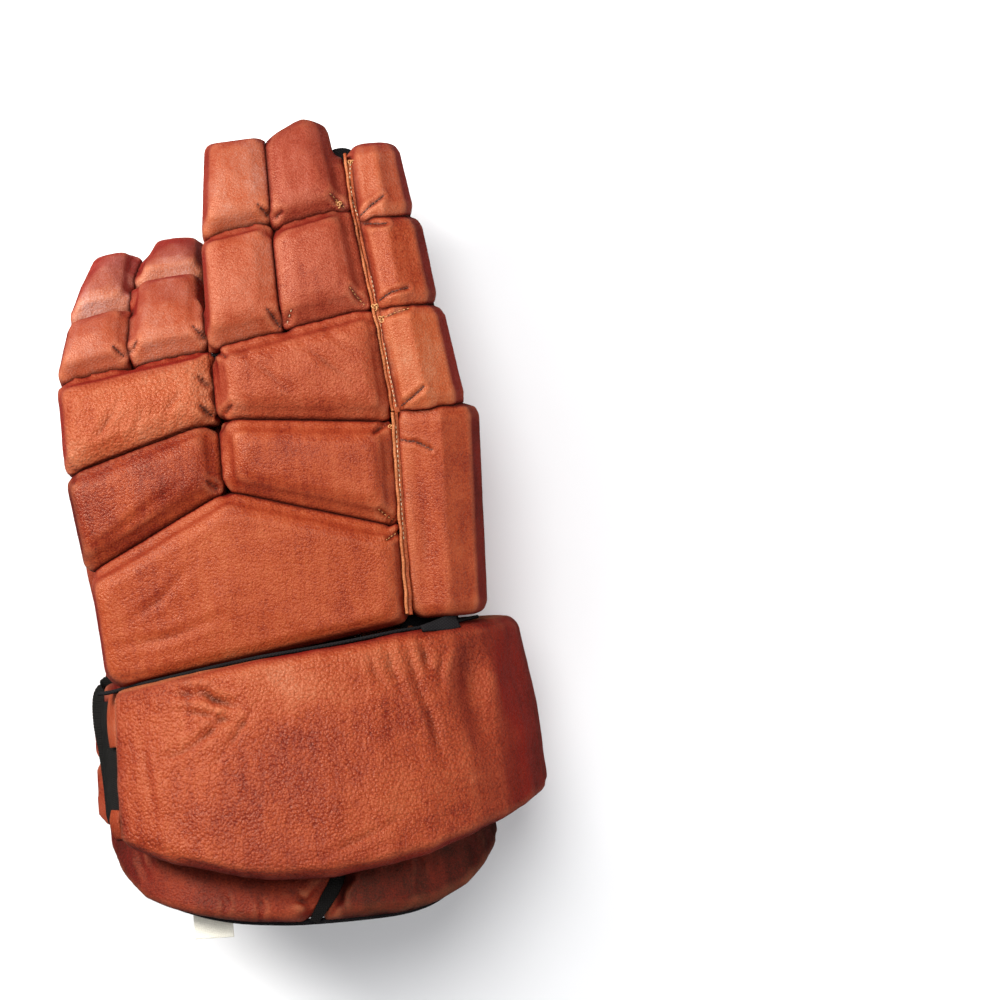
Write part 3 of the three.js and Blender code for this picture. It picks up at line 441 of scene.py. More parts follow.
def keep_number(mesh, name, values):
    """Stores a number for each vertex, which the materials read."""
    layer = mesh.attributes.get(name) or mesh.attributes.new(name, "FLOAT", "POINT")
    layer.data.foreach_set("value", np.broadcast_to(values, len(mesh.vertices)).astype(np.float32))


def set_leather_numbers(mesh, **numbers):
    """Stores the numbers that steer the leather's colour, its own and its painted light and shade. One
    that isn't given is 0.
    """
    for name in ("tone", "red", "side", "ridge", "pebble", "raw"):
        keep_number(mesh, name, numbers.get(name, 0.0))


def wear(piece, material):
    piece.data.materials.clear()
    piece.data.materials.append(material)
    piece.data.polygons.foreach_set("use_smooth", [True] * len(piece.data.polygons))
    return piece


def rides(piece, slot, *nodes):
    """The piece moves with the glove and stands for those solids. Its slot is not used."""
    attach(piece, "root")
    if nodes:
        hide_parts(*nodes)
    return piece


print("finishes to wear:", [material.name for material in bpy.data.materials])

# %% [markdown]
# Each pad is cut from its own part of the hide, so each has its own tone, redness and coarseness.
# The tones also hold painted light: the fingers' blocks are lighter, the tips of the little and ring
# fingers most, as a painted highlight, and the two lower pads of the cuff are darker, as painted
# shade under the roll.
# The pads of the cuff are thick and soft, so their edges are rounded more than those of the firm
# blocks on the fingers. A smoothed skin loses its edges, so a share of what a much smoother copy
# would lose is added again.

# %% The pads, each with its tone and the coarseness of its hide
VOXEL = 1.0 * MM
CRISP, CRISP_ROUNDS = 0.75, 16  # how much of the lost edge comes back, and how smooth the other copy is
# The tone column is partly painted light: high tones on the fingers paint light from the lamps, and low
# tones on the lower cuff pads paint shade.
PADS = [
    # solid, tone, red, pebble, rounds of smoothing, swell in millimetres, waves in millimetres
    ("back_plate", 0.05, 0.0, 0.35, 4, 0.9, 0.18),
    ("second_roll_little", -0.5, 0.0, 0.3, 4, 0.55, 0.18),
    ("second_roll_thumb", 0.05, 0.1, 0.2, 4, 0.55, 0.18),
    ("knuckle_roll_little", 1.0, 0.1, 0.8, 4, 0.55, 0.35),
    ("knuckle_roll_thumb", 0.25, 0.3, 0.45, 4, 0.55, 0.25),
    ("little_mid_block", 1.05, 0.45, 0.1, 3, 0.55, 0.12),
    ("little_tip_block", 2.1, 0.35, 0.1, 3, 0.55, 0.12),
    ("ring_mid_block", 1.3, 0.35, 0.15, 3, 0.55, 0.12),
    ("ring_tip_block", 1.6, 0.35, 0.15, 3, 0.55, 0.12),
    ("middle_mid_block", 0.75, 0.4, 0.15, 3, 0.55, 0.12),
    ("middle_tip_block", 1.0, 0.3, 0.1, 3, 0.55, 0.12),
    ("index_mid_block", 0.1, 0.7, 0.2, 3, 0.55, 0.12),
    ("index_tip_block", -0.05, 0.9, 0.15, 3, 0.55, 0.12),
    ("index_side_tip", 1.1, 0.3, 0.1, 4, 0.55, 0.15),
    ("index_side_mid", 0.4, 0.2, 0.3, 4, 0.55, 0.15),
    ("index_side_base", 1.0, 0, 0.15, 4, 0.55, 0.15),
    ("thumb_side_long", 0.1, 0.1, 0.15, 4, 0.55, 0.15),
    ("little_side_lower", 0.1, 0.2, 0.2, 4, 0.55, 0.15),
    ("little_side_upper", 0.1, 0.2, 0.2, 4, 0.55, 0.15),
    ("cuff_roll", 0.0, 0.1, 0.9, 18, 1.8, 0.35),
    ("cuff_lower_thumb", -1.3, 0, 0.2, 16, 0.8, 0.3),
    ("cuff_lower_little", -0.5, 0, 0.4, 16, 0.8, 0.3),
    ("cuff_palm_panel", 0.4, 0.2, 0.3, 7, 1.2, 0.18),
    ("thumb_base_pad", 0.3, 0.2, 0.3, 4, 1.0, 0.18),
    ("thumb_tip_pad", 0.3, 0.2, 0.3, 4, 1.0, 0.18),
]


def pad_skin(node, rounds):
    """The solid as an even skin with soft edges."""
    pad = remeshed(merged_copy(node, node + "_leather"), VOXEL)
    pairs = edges_of(pad.data)
    co = softened(points_of(pad.data), pairs, rounds)
    co += CRISP * (co - softened(co, pairs, CRISP_ROUNDS))
    set_points(pad.data, co)
    return pad


pads = {node: pad_skin(node, rounds) for node, _, _, _, rounds, _, _ in PADS}
print("pads:", len(pads), "faces:", sum(len(p.data.polygons) for p in pads.values()))

# %% [markdown]
# The pads are sewn side by side, so their sides touch, and only a narrow groove is left between
# their soft edges. From each point of a side a ray looks for the next pad. Where it finds one close
# by, the side moves half of the way to it. An outer side has no neighbour and only makes up for
# what the smoothing took away.

# %% Sides that meet
NEIGHBOUR_REACH = 7.5 * MM
OUTER_SIDE = 0.45 * MM
GROOVE = -0.12 * MM  # below 0 the sides press into each other
SIDEWAYS, UNDERSIDE = 0.35, -0.75  # a side faces sideways more than this, and down less than this


def joined_tree(pieces):
    """One search tree over the meshes of several pieces."""
    work = bmesh.new()
    for piece in pieces:
        work.from_mesh(piece.data)
    tree = BVHTree.FromBMesh(work)
    work.free()
    return tree


def sides_out(pad, others, seams):
    """The way each point of a side moves, towards the next pad or seam."""
    co, normals = points_of(pad.data), normals_of(pad.data)
    level = normals * (1, 1, 0)
    sideways = np.linalg.norm(level, axis=1)
    push = np.zeros_like(co)
    for i in np.flatnonzero((sideways > SIDEWAYS) & (normals[:, 2] > UNDERSIDE)):
        way = level[i] / sideways[i]
        start, share = Vector(co[i] + way * 0.2 * MM), min(1.0, (sideways[i] - SIDEWAYS) / 0.5)
        gap = others.ray_cast(start, Vector(way), NEIGHBOUR_REACH)[3]
        strip = seams.ray_cast(start, Vector(way), NEIGHBOUR_REACH)[3]
        reach = OUTER_SIDE if gap is None else max(gap / 2 - GROOVE, 0)
        push[i] = way * share * (reach if strip is None else min(strip, gap or strip))
    return softened(push, edges_of(pad.data), 6)


seam_tree = joined_tree([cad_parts[node] for node in ("index_seam", "back_seam")])
groups = [
    [node for node, *_ in PADS[:17]],
    ["little_side_lower", "little_side_upper"],
    ["cuff_lower_thumb", "cuff_lower_little"],
    ["thumb_base_pad", "thumb_tip_pad"],
]
pushes = {}
for group in groups:
    tree = joined_tree([pads[node] for node in group])
    for node in group:
        pushes[node] = sides_out(pads[node], tree, seam_tree)
for node, push in pushes.items():
    set_points(pads[node].data, points_of(pads[node].data) + push)
print("sides moved:", len(pushes))

# %% [markdown]
# The foam pushes the leather out between its seams. A cloth simulation gives that shape: a coarse
# copy of each pad is blown up with gravity off, and the fine skin follows it. All copies are
# simulated together. The move of each copy is scaled so that its fullest place moves as far as the
# table says, and the sides move less than the tops, because the pads lie side by side.

# %% Swell the pads
SWELL_VOXEL = 4.5 * MM
SWELL_FRAMES = 20
PRESSURE, STIFFNESS = 4.0, 15.0
SIDE_SHARE = 0.35


def lump_of(pad):
    """A coarse copy of the pad, ready to be blown up."""
    lump = linked(pad.name + "_lump", pad.data.copy())
    remeshed(lump, SWELL_VOXEL)
    cloth = lump.modifiers.new("cloth", "CLOTH").settings
    cloth.use_pressure = True
    cloth.uniform_pressure_force = PRESSURE
    cloth.effector_weights.gravity = 0.0
    cloth.tension_stiffness = cloth.compression_stiffness = STIFFNESS
    return lump


def follow(pad, before, after, reach):
    """Moves the fine skin as the coarse copy moved, by at most the reach."""
    moves = after - before
    longest = np.percentile(np.linalg.norm(moves, axis=1), 97)
    moves *= reach / max(longest, 1e-9)
    tree = kdtree.KDTree(len(before))
    for i, place in enumerate(before):
        tree.insert(place, i)
    tree.balance()
    co = points_of(pad.data)
    push = np.zeros_like(co)
    for i, place in enumerate(co):
        near = tree.find_n(place, 4)
        weight = np.array([1 / (d + 0.5 * MM) ** 2 for _, _, d in near])
        push[i] = (moves[[j for _, j, _ in near]] * weight[:, None]).sum(0) / weight.sum()
    push = softened(push, edges_of(pad.data), 8)
    upward = np.abs(normals_of(pad.data)[:, 2])[:, None]
    set_points(pad.data, co + push * (SIDE_SHARE + (1 - SIDE_SHARE) * upward))


scene = bpy.context.scene
lumps = {node: lump_of(pad) for node, pad in pads.items()}
starts = {node: points_of(lump.data) for node, lump in lumps.items()}
for number in range(1, SWELL_FRAMES + 1):
    scene.frame_set(number)
for node, _, _, _, _, swell, _ in PADS:
    follow(pads[node], starts[node], points_of(applied(lumps[node]).data), swell * MM)
    bpy.data.objects.remove(lumps[node])
scene.frame_set(1)
print("swollen:", len(lumps))

# %% [markdown]
# The cuff is a tube with a square D for its section, wider at its rim. The formula that shaped its
# solids also gives the paths of the trim round it. The solids' rim has few corners, so here the
# leather and the lining near the rim move to a smooth line, and so does the lower edge of the roll.
# The slit between the two lower pieces slants and gapes a little, so their ends are pushed there.

# %% The cuff's formula and its smooth rim
CUFF_WRIST = 118.0
CUFF_FLOOR = 18.2
HALF_WIDTH, HALF_DEPTH = (69, 5.5), (39.5, 10.7)  # at the rim, and how much less at the wrist
MIDDLE, MIDDLE_DRIFT = 4, 1.4  # the middle across at the rim, and how far left it is at the wrist
ROUND_POWER, SQUARE_POWER = 2 / 2.3, 2 / 4.6
CUFF_EDGES = np.array([
    # angle, rim, top of the roll, padding under the roll
    (-82, 31, 117, 5), (-60, 29, 117, 5), (-30, 27, 117, 7), (0, 24, 117, 11), (25, 11, 117, 12),
    (60, 0, 114.4, 12), (90, 0, 109.8, 12), (120, 1, 103.8, 12), (145, 8, 99.6, 12),
    (165, 27, 98.6, 12), (185, 40, 104, 11),
])
SMOOTH_RIM = [
    # angle and distance from the rim's lowest place
    (-82, 31), (-60, 29), (-30, 27), (0, 24), (12, 19.5), (22, 15), (33, 9.3), (47, 3.6), (60, 0.9),
    (75, 0.2), (90, 0.3), (100, 1.4), (110, 3), (120, 5.5), (128, 8), (137, 11), (145, 14.4),
    (154, 20.4), (160, 26), (166, 31.5), (175, 37), (185, 40),
]
RIM_REACH = 28.0
RIM_PADDING = 8  # about the middle of the leather and its foam
ROLL_FOOT = np.array([
    # place across, lower edge of the roll's solid there, and how far it moves up
    (-71, 30.2, 8.0), (-47.8, 21.6, 6.4), (-19.3, 15.7, 3.2), (13.5, 12.5, 1.5), (47.6, 19, 0.6),
    (63.4, 24.7, 0.4), (80, 34, -1.6), (96.3, 44, -4.2), (105.5, 53.3, -4.8),
])
FOOT_REACH = 50.0
SLIT_X, SLIT_SLOPE, SLIT_TOP = 7.4, 0.7, 16.0
SLIT_GAPE, GAPE_REACH, SLANT_REACH = 1.5, 6, 20


def half_sizes(t):
    """Half of the cuff's width and of its depth, at a share of the way to the wrist."""
    return HALF_WIDTH[0] - HALF_WIDTH[1] * t, HALF_DEPTH[0] - HALF_DEPTH[1] * t


def cuff_spot(angle, y, out):
    """A place on the cuff, by the angle round it, 90 on the back, its y and how far out it is."""
    t = y / CUFF_WRIST
    c, s = math.cos(math.radians(angle)), math.sin(math.radians(angle))
    power = ROUND_POWER if s > 0 else SQUARE_POWER
    half_width, half_depth = half_sizes(t)
    x = MIDDLE - MIDDLE_DRIFT * t + (half_width + out) * math.copysign(abs(c) ** power, c)
    z = CUFF_FLOOR + half_depth + (half_depth + out) * math.copysign(abs(s) ** power, s)
    return x, y, max(z, 0)


def cuff_edge(angle, column):
    """The rim, the roll's top or its padding at an angle, as the column says."""
    return float(np.interp(angle, CUFF_EDGES[:, 0], CUFF_EDGES[:, column]))


def smooth_path(places, step):
    """A smooth curve through the places, at even steps. Extra columns are carried along."""
    places = np.asarray(places, float)
    ends = np.vstack([2 * places[0] - places[1], places, 2 * places[-1] - places[-2]])
    out = []
    for a, b, c, d in zip(ends[:-3], ends[1:-2], ends[2:-1], ends[3:]):
        for t in np.linspace(0, 1, 24, endpoint=False):
            bent = (2 * a - 5 * b + 4 * c - d) * t**2 + (3 * b - a - 3 * c + d) * t**3
            out.append(0.5 * (2 * b + (c - a) * t + bent))
    out = np.array([*out, places[-1]])
    passed = np.concatenate([[0], np.cumsum(np.linalg.norm(np.diff(out[:, :3], axis=0), axis=1))])
    even = np.linspace(0, passed[-1], max(2, round(passed[-1] / step) + 1))
    return np.stack([np.interp(even, passed, column) for column in out.T], axis=1), even


rim_curve = smooth_path([(angle, y, 0) for angle, y in SMOOTH_RIM], 1.0)[0]


def rim_at(angle):
    return np.interp(angle, rim_curve[:, 0], rim_curve[:, 1])


def rim_moved(mesh):
    """Brings the points near the rim to its smooth line."""
    co = drawn(points_of(mesh))
    t = co[:, 1] / CUFF_WRIST
    half_width, half_depth = half_sizes(t)
    across, up = co[:, 0] - MIDDLE + MIDDLE_DRIFT * t, co[:, 2] - CUFF_FLOOR - half_depth
    c = (np.abs(across) / (half_width + RIM_PADDING)) ** (1 / ROUND_POWER) * np.sign(across)
    s = (np.abs(up) / (half_depth + RIM_PADDING)) ** (1 / ROUND_POWER) * np.sign(up)
    angle = np.degrees(np.arctan2(s, c))
    angle = np.where(angle < -90, 185, angle)
    rim = np.interp(angle, CUFF_EDGES[:, 0], CUFF_EDGES[:, 1])
    co[:, 1] += (rim_at(angle) - rim) * np.clip(1 - (co[:, 1] - rim) / RIM_REACH, 0, 1)
    set_points(mesh, spots(co))


def slit_opened(mesh):
    """Pushes the ends of the lower pieces apart, and along the slanting slit."""
    co = drawn(points_of(mesh))
    gap = co[:, 0] - SLIT_X
    co[:, 0] += np.sign(gap) * SLIT_GAPE * np.exp(-((gap / GAPE_REACH) ** 2))
    co[:, 0] += SLIT_SLOPE * (np.clip(co[:, 1], 0, SLIT_TOP) - 1) * np.exp(-((gap / SLANT_REACH) ** 2))
    set_points(mesh, spots(co))


def roll_foot_moved(mesh):
    """Brings the lower edge of the roll to its smooth line, further up on the little finger's side."""
    co = drawn(points_of(mesh))
    foot, lift = (np.interp(co[:, 0], ROLL_FOOT[:, 0], ROLL_FOOT[:, k]) for k in (1, 2))
    co[:, 1] += lift * np.clip(1 - (co[:, 1] - foot) / FOOT_REACH, 0, 1)
    set_points(mesh, spots(co))


roll_foot_moved(pads["cuff_roll"].data)
for node in ("cuff_lower_thumb", "cuff_lower_little"):
    rim_moved(pads[node].data)
    slit_opened(pads[node].data)
print("rim from", round(rim_curve[:, 1].min(), 1), "to", round(rim_curve[:, 1].max(), 1))

# %% [markdown]
# Where the leather is bent or pinched, it creases. Each crease is a line in plan with a width and a
# depth. The skin near it sinks along its normal and rises a little beside it. A dart is a short
# deep crease at a pad's corner, where the leather is folded and sewn, so its line also gets
# stitches later.

# %% Creases and darts
CREASES = {
    # solid: width and depth in millimetres, and the line
    "cuff_roll": [
        (2.2, 0.9, [(-52.5, 99.8), (-28.9, 95.7), (-18.3, 89.0)]),
        (1.8, 0.8, [(-32.6, 100.2), (-26.2, 93.8), (-14.0, 90.3)]),
        (1.6, 0.6, [(-44, 92), (-30, 88), (-12, 82)]),
        (1.8, 0.8, [(-19.1, 89.0), (-29.0, 80.4), (-39.1, 74.2), (-50.5, 71.1)]),
        (1.5, 0.5, [(-8, 92), (-20, 76), (-30, 66)]),
        (1.7, 0.8, [(52.7, 114.6), (54.6, 103.3), (57.6, 90.6), (61.9, 77.8), (64.6, 61.0)]),
        (1.5, 0.7, [(60.6, 111.0), (61.5, 101.5), (63.5, 95.9)]),
        (1.5, 0.7, [(70.3, 107.7), (66.4, 96.9), (66.9, 87.3)]),
        (1.5, 0.5, [(46, 112), (47, 100), (51, 88)]),
        (1.5, 0.5, [(38, 110), (40, 99), (46, 90)]),
        (5.0, 2.0, [(83.7, 106.9), (78.8, 95.8), (78.8, 82.1), (84.7, 66.2)]),
        (4.0, 1.5, [(95.5, 109.6), (97.1, 94.1), (97.9, 74.6)]),
        (2.4, 0.8, [(-66.9, 39.4), (-56.1, 36.0), (-43.0, 29.0), (-25, 23)]),
        (1.6, 0.5, [(-57, 84), (-56, 65), (-54, 48)]),
        (1.6, 0.5, [(10, 26), (30, 33), (48, 40)]),
    ],
    "cuff_lower_little": [
        (1.3, 0.9, [(-3.3, 9.8), (4.9, 8.3), (8.1, 11.7)]),
        (1.2, 0.7, [(-16, 14), (-14, 8), (-15, 3)]),
        (1.1, 0.6, [(-5, 16), (1, 11), (5, 5)]),
        (1.3, 0.6, [(-30, 16), (-28, 10), (-30, 6)]),
        (1.4, 0.8, [(-64, 36), (-62, 28), (-60, 22)]),
        (1.3, 0.6, [(-59, 34), (-58, 26)]),
    ],
    "cuff_lower_thumb": [
        (1.4, 0.6, [(20, 18), (18, 10), (19, 3)]),
        (1.3, 0.5, [(50, 26), (52, 18), (50, 8)]),
        (1.3, 0.5, [(74, 34), (76, 27), (74, 18)]),
    ],
    "knuckle_roll_little": [
        (1.4, 0.5, [(-70, 199), (-58, 214), (-52, 222)]),
        (1.3, 0.5, [(-38, 205), (-34, 216), (-26, 222)]),
        (1.3, 0.4, [(-52, 202), (-47, 210), (-45, 220)]),
    ],
    "knuckle_roll_thumb": [
        (1.6, 0.5, [(-4, 236), (10, 222), (22, 212)]),
        (1.6, 0.5, [(18, 240), (32, 226), (46, 214)]),
        (1.4, 0.4, [(30, 243), (40, 232), (50, 226)]),
    ],
    "back_plate": [
        (2.0, 0.5, [(-66, 118), (-40, 121), (-18, 128)]),
        (1.8, 0.4, [(-62, 127), (-45, 136), (-30, 150)]),
    ],
    "second_roll_little": [(1.8, 0.5, [(-70, 160), (-50, 172), (-30, 184)])],
    "cuff_palm_panel": [(3.2, -1.2, [(-92, 69.6), (-62, 69.6)])],
    "thumb_side_long": [(3.0, 0.6, [(64, 124), (65, 160), (64, 186)])],
}
DARTS = [
    # solid, width and depth in millimetres, thread, and the line from the corner into the pad
    ("index_side_tip", 0.9, 1.0, "dark", [(50.6, 286.5), (55.2, 290.4), (60.0, 293.3)]),
    ("index_side_mid", 1.0, 1.0, "dark", [(51.6, 282.6), (56, 282.2), (60.4, 282.0)]),
    ("index_side_mid", 0.9, 1.0, "dark", [(55.4, 250.7), (60.3, 253.5), (67.0, 254.6)]),
    ("index_side_base", 1.0, 0.8, "tan", [(57.5, 243.6), (62, 245.2), (66.5, 246.0)]),
    ("index_side_base", 0.9, 1.0, "dark", [(60.6, 206.8), (64.8, 209.4), (70.0, 213.4)]),
    ("thumb_side_long", 0.9, 1.0, "dark", [(59.4, 192.6), (65.5, 191.1), (71.0, 187.7)]),
    ("index_tip_block", 1.0, 1.2, "tan", [(38.6, 296.2), (41.6, 292.8), (43.6, 290.6)]),
    ("index_tip_block", 1.0, 1.0, "none", [(18, 291), (15.4, 288.4)]),
    ("index_mid_block", 1.0, 1.2, "tan", [(43.6, 256.6), (46.2, 252.4), (48.6, 249.4)]),
    ("index_mid_block", 1.0, 1.0, "pale", [(18.6, 249.4), (17.6, 247), (16.8, 244.8)]),
    ("middle_tip_block", 1.0, 1.2, "dark", [(8.6, 294.4), (10.6, 291.6), (12, 289.8)]),
    ("middle_mid_block", 1.0, 1.3, "dark", [(9.0, 250.8), (11.6, 246.8), (13.2, 243.4)]),
    ("ring_mid_block", 1.0, 1.1, "dark", [(-22.4, 246.6), (-20, 243.8), (-18.4, 241.6)]),
    ("ring_mid_block", 1.0, 0.9, "none", [(-46.2, 242.6), (-48.4, 239)]),
    ("little_mid_block", 1.0, 1.1, "dark", [(-56, 241.4), (-53.8, 239), (-52.2, 237.2)]),
    ("knuckle_roll_thumb", 1.0, 1.2, "none", [(-9.6, 232.8), (-12, 234.4), (-13.2, 235.6)]),
    ("knuckle_roll_thumb", 1.2, 1.0, "none", [(-8.8, 213), (-11.6, 210.2)]),
    ("knuckle_roll_little", 1.4, 1.4, "dark", [(-22, 214), (-19.4, 211.4), (-17.6, 209.2)]),
    ("knuckle_roll_little", 1.2, 1.0, "none", [(-21.6, 226), (-18, 222)]),
    ("second_roll_thumb", 1.0, 1.1, "none", [(48.2, 196.4), (51, 198.4), (53, 199.2)]),
    ("second_roll_thumb", 1.0, 1.1, "tan", [(47.6, 165), (50.4, 162.2), (52.6, 160.4)]),
    ("second_roll_little", 1.1, 1.0, "none", [(-22, 183), (-18, 179.6)]),
    ("back_plate", 1.1, 1.2, "tan", [(49.6, 152.4), (52.6, 154.2), (55, 155)]),
]

BESIDE, BESIDE_AT = 0.4, 2.1  # how high the skin rises beside a crease, and how many widths away
TOP_FACING = -0.1


def along_line(points, line):
    """How far points in plan are from a line of straight parts, and the share of it passed there."""
    best = np.full(len(points), 1e9)
    share = np.zeros(len(points))
    steps = np.linalg.norm(np.diff(line, axis=0), axis=1)
    passed = 0.0
    for a, b, step in zip(line[:-1], line[1:], steps):
        t = np.clip(((points - a) @ (b - a)) / step**2, 0, 1)
        gap = np.linalg.norm(points - (a + t[:, None] * (b - a)), axis=1)
        closer = gap < best
        best[closer] = gap[closer]
        share[closer] = (passed + t[closer] * step) / steps.sum()
        passed += step
    return best, share


def crease(pad, width, depth, line, tapered=True):
    """Sinks the top of the pad along the line, and raises it a little beside it."""
    co, normals = points_of(pad.data), normals_of(pad.data)
    near = np.flatnonzero(normals[:, 2] > TOP_FACING)
    gap, share = along_line(co[near, :2], plan(line))
    if tapered:
        reach = np.sin(np.pi * np.clip(share, 0.02, 0.98)) ** 0.6
    else:
        reach = np.clip(2.2 - 2 * share, 0, 1)
    wobble = 1 + 0.15 * np.sin(share * 11 + len(line))
    gap /= width * MM
    dip = BESIDE * np.exp(-((gap - BESIDE_AT) ** 2)) - np.exp(-(gap**2))
    co[near] += normals[near] * (dip * reach * wobble * depth * MM)[:, None]
    set_points(pad.data, co)


def waves(pad, size, seed):
    """Small waves, as hand-cut hide has over foam."""
    co, normals = points_of(pad.data), normals_of(pad.data)
    offset = Vector((seed * 3.7, seed * 1.3, 0))
    push = [noise.fractal(Vector(p) * 55 + offset, 0.9, 2.2, 3) for p in co]
    set_points(pad.data, co + normals * (np.array(push) * size * MM)[:, None])


for seed, (node, *_, size) in enumerate(PADS):
    waves(pads[node], size, seed)
    for width, depth, line in CREASES.get(node, []):
        crease(pads[node], width, depth, line)
for node, width, depth, _, line in DARTS:
    crease(pads[node], width, depth, line[::-1], tapered=False)
print("creases:", sum(map(len, CREASES.values())), "darts:", len(DARTS))

# %% [markdown]
# The shape of the finished skin says where the leather is lighter or darker. A point that stands
# proud of a much smoother copy of the skin is on an edge, which is rubbed and gets a painted
# highlight, and one that lies below it is in a crease, which gets painted shade. A point that faces
# sideways is on a pad's side. Between two pads the groove gets painted shade, so the distance to
# the nearest other pad is measured too.

# %% Measure edges, sides and grooves
RIDGE_HEIGHT = 0.55 * MM
SHALLOW = 0.2  # an edge or a hollow this slight keeps its colour
SIDE_FROM, SIDE_SPAN = 0.87, 0.52
GROOVE_SHADE = 2.2 * MM


def side_of(mesh):
    """How much a point faces sideways, where the leather is darker, partly burnished and partly painted
    shade.
    """
    upward = np.abs(softened(normals_of(mesh), edges_of(mesh), 3)[:, 2])
    return np.clip((SIDE_FROM - upward) / SIDE_SPAN, 0, 1)


def ridge_of(mesh):
    """How proud a point stands: 1 on an edge, -1 in a hollow."""
    co, pairs = points_of(mesh), edges_of(mesh)
    proud = ((co - softened(co, pairs, 14)) * normals_of(mesh)).sum(1) / RIDGE_HEIGHT
    proud = softened(proud[:, None], pairs, 1)[:, 0]
    return np.clip(np.sign(proud) * np.maximum(np.abs(proud) - SHALLOW, 0), -1, 1)


neighbours = []
for piece in (*pads.values(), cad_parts["index_seam"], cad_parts["back_seam"]):
    co = points_of(piece.data)
    tree = BVHTree.FromObject(piece, bpy.context.evaluated_depsgraph_get())
    neighbours.append((piece, tree, co.min(0) - GROOVE_SHADE, co.max(0) + GROOVE_SHADE))


def groove_of(pad):
    """How deep each point lies in a groove: 1 where it touches the next pad, 0 outside."""
    co = points_of(pad.data)
    gaps = np.full(len(co), GROOVE_SHADE)
    for piece, tree, low, high in neighbours:
        if piece is not pad:
            for i in np.flatnonzero(((co > low) & (co < high)).all(1)):
                gap = tree.find_nearest(co[i], gaps[i])[3]
                if gap is not None:
                    gaps[i] = gap
    return softened((1 - gaps / GROOVE_SHADE)[:, None], edges_of(pad.data), 1)[:, 0]


print("pads and seams that shade each other:", len(neighbours))

# %% [markdown]
# The big roll gets painted shade towards its thumb end, away from the main lamp, and at its foot,
# which turns under, and a painted highlight in a broad patch below its top edge. Its cut edges are
# raw. The two pads under it lie in its shade, which is painted on them, so they are darkest. A
# dart's line gets painted shade as well, because the leather is folded in there.

# %% Keep the leather's numbers on each pad
ROLL_TOP = [(-80, 98.4), (-60, 100.6), (-40, 104), (0, 109.8), (40, 115), (60, 117), (110, 117)]
ROLL_LEFT = [(38.9, -70.7), (99.4, -67.2)]
RAW_WIDTH, RAW_ABOVE, RAW_LEVEL = 1.0, 40, 0.55
# Painted shade towards the roll's thumb end and at its foot, and a painted highlight in a patch below
# its top edge.
THUMB_END, THUMB_SPAN, THUMB_POWER = 56, 46, 1.4
FOOT, FOOT_SPAN, FOOT_DARKEST = 34, 20, 0.4
PATCH_BELOW, PATCH_HEIGHT, PATCH_ACROSS, PATCH_WIDTH = 12, 16, 8, 42
DARK_TONE, LIGHT_TONE = 0.2, 0.9
# How much painted shade darkens the sides at the roll's dark parts and on the two pads under the roll.
ROLL_SIDE_SHADE, LOWER_PAD_SIDE_SHADE = 0.62, 0.55
# Painted shade along the darts' folds and in the grooves between pads.
DART_LINE, DART_DARK = 0.75 * MM, 2.1
GROOVE_DARK, GROOVE_POWER = 1.25, 1.2


def roll_raw_shade_and_highlight(co):
    """How raw, how dark and how light each place of the roll is: the raw cut edge is real, the dark is
    painted shade and the light a painted highlight.
    """
    short = np.interp(co[:, 0], *np.array(ROLL_TOP).T) - co[:, 1]
    inward = co[:, 0] - np.interp(co[:, 1], *np.array(ROLL_LEFT).T)
    raw = np.where(co[:, 2] > RAW_ABOVE, np.clip(1 - np.minimum(short, inward) / RAW_WIDTH, 0, 1), 0)
    dark = np.clip((co[:, 0] - THUMB_END) / THUMB_SPAN, 0, 1) ** THUMB_POWER
    dark += np.clip((FOOT - co[:, 1]) / FOOT_SPAN, 0, FOOT_DARKEST)
    light = np.exp(-(((short - PATCH_BELOW) / PATCH_HEIGHT) ** 2))
    light *= np.exp(-(((co[:, 0] - PATCH_ACROSS) / PATCH_WIDTH) ** 2))
    return raw * RAW_LEVEL, dark, light


for node, tone_level, red_level, coarse_level, _, _, _ in PADS:
    mesh = pads[node].data
    co = points_of(mesh)
    raw, dark, light = roll_raw_shade_and_highlight(drawn(co)) if node == "cuff_roll" else (0, 0, 0)
    ridge = ridge_of(mesh)
    # Painted shade along the fold of each dart.
    for dart_node, _, _, _, line in DARTS:
        if dart_node == node:
            gap, _ = along_line(co[:, :2], plan(line))
            dart_fold_shade = np.exp(-((gap / DART_LINE) ** 2)) * (normals_of(mesh)[:, 2] > 0.3)
            ridge = np.minimum(ridge, 1 - DART_DARK * dart_fold_shade)
    # Painted shade in the grooves between pads, where light hardly reaches.
    groove = groove_of(pads[node])
    ridge = np.clip(ridge * (1 - groove) - GROOVE_DARK * groove**GROOVE_POWER, -1, 1)
    # Painted shade on the sides, at the roll's dark parts and on the pads under the roll.
    side_shade_added = LOWER_PAD_SIDE_SHADE if node.startswith("cuff_lower") else ROLL_SIDE_SHADE * np.clip(dark, 0, 1)
    side = np.clip(side_of(mesh) + side_shade_added, 0, 1)
    # The roll's tone carries its painted shade and painted highlight.
    tone_here = tone_level + DARK_TONE * dark + LIGHT_TONE * light
    set_leather_numbers(mesh, tone=tone_here, red=red_level, side=side, ridge=ridge, pebble=coarse_level, raw=raw)
    wear(pads[node], leather)
    rides(pads[node], "leather", node)
print("pads worn:", len(pads))

# %% [markdown]
# The sleeves, the linings and the suede are sheets. Their solids have few faces, in rows. Joining
# the triangles back into four-sided faces lets a subdivision surface round them, and a slow noise
# in space then gives the soft bends of cloth. The noise moves both sides of the sheet alike, so its
# thickness stays.

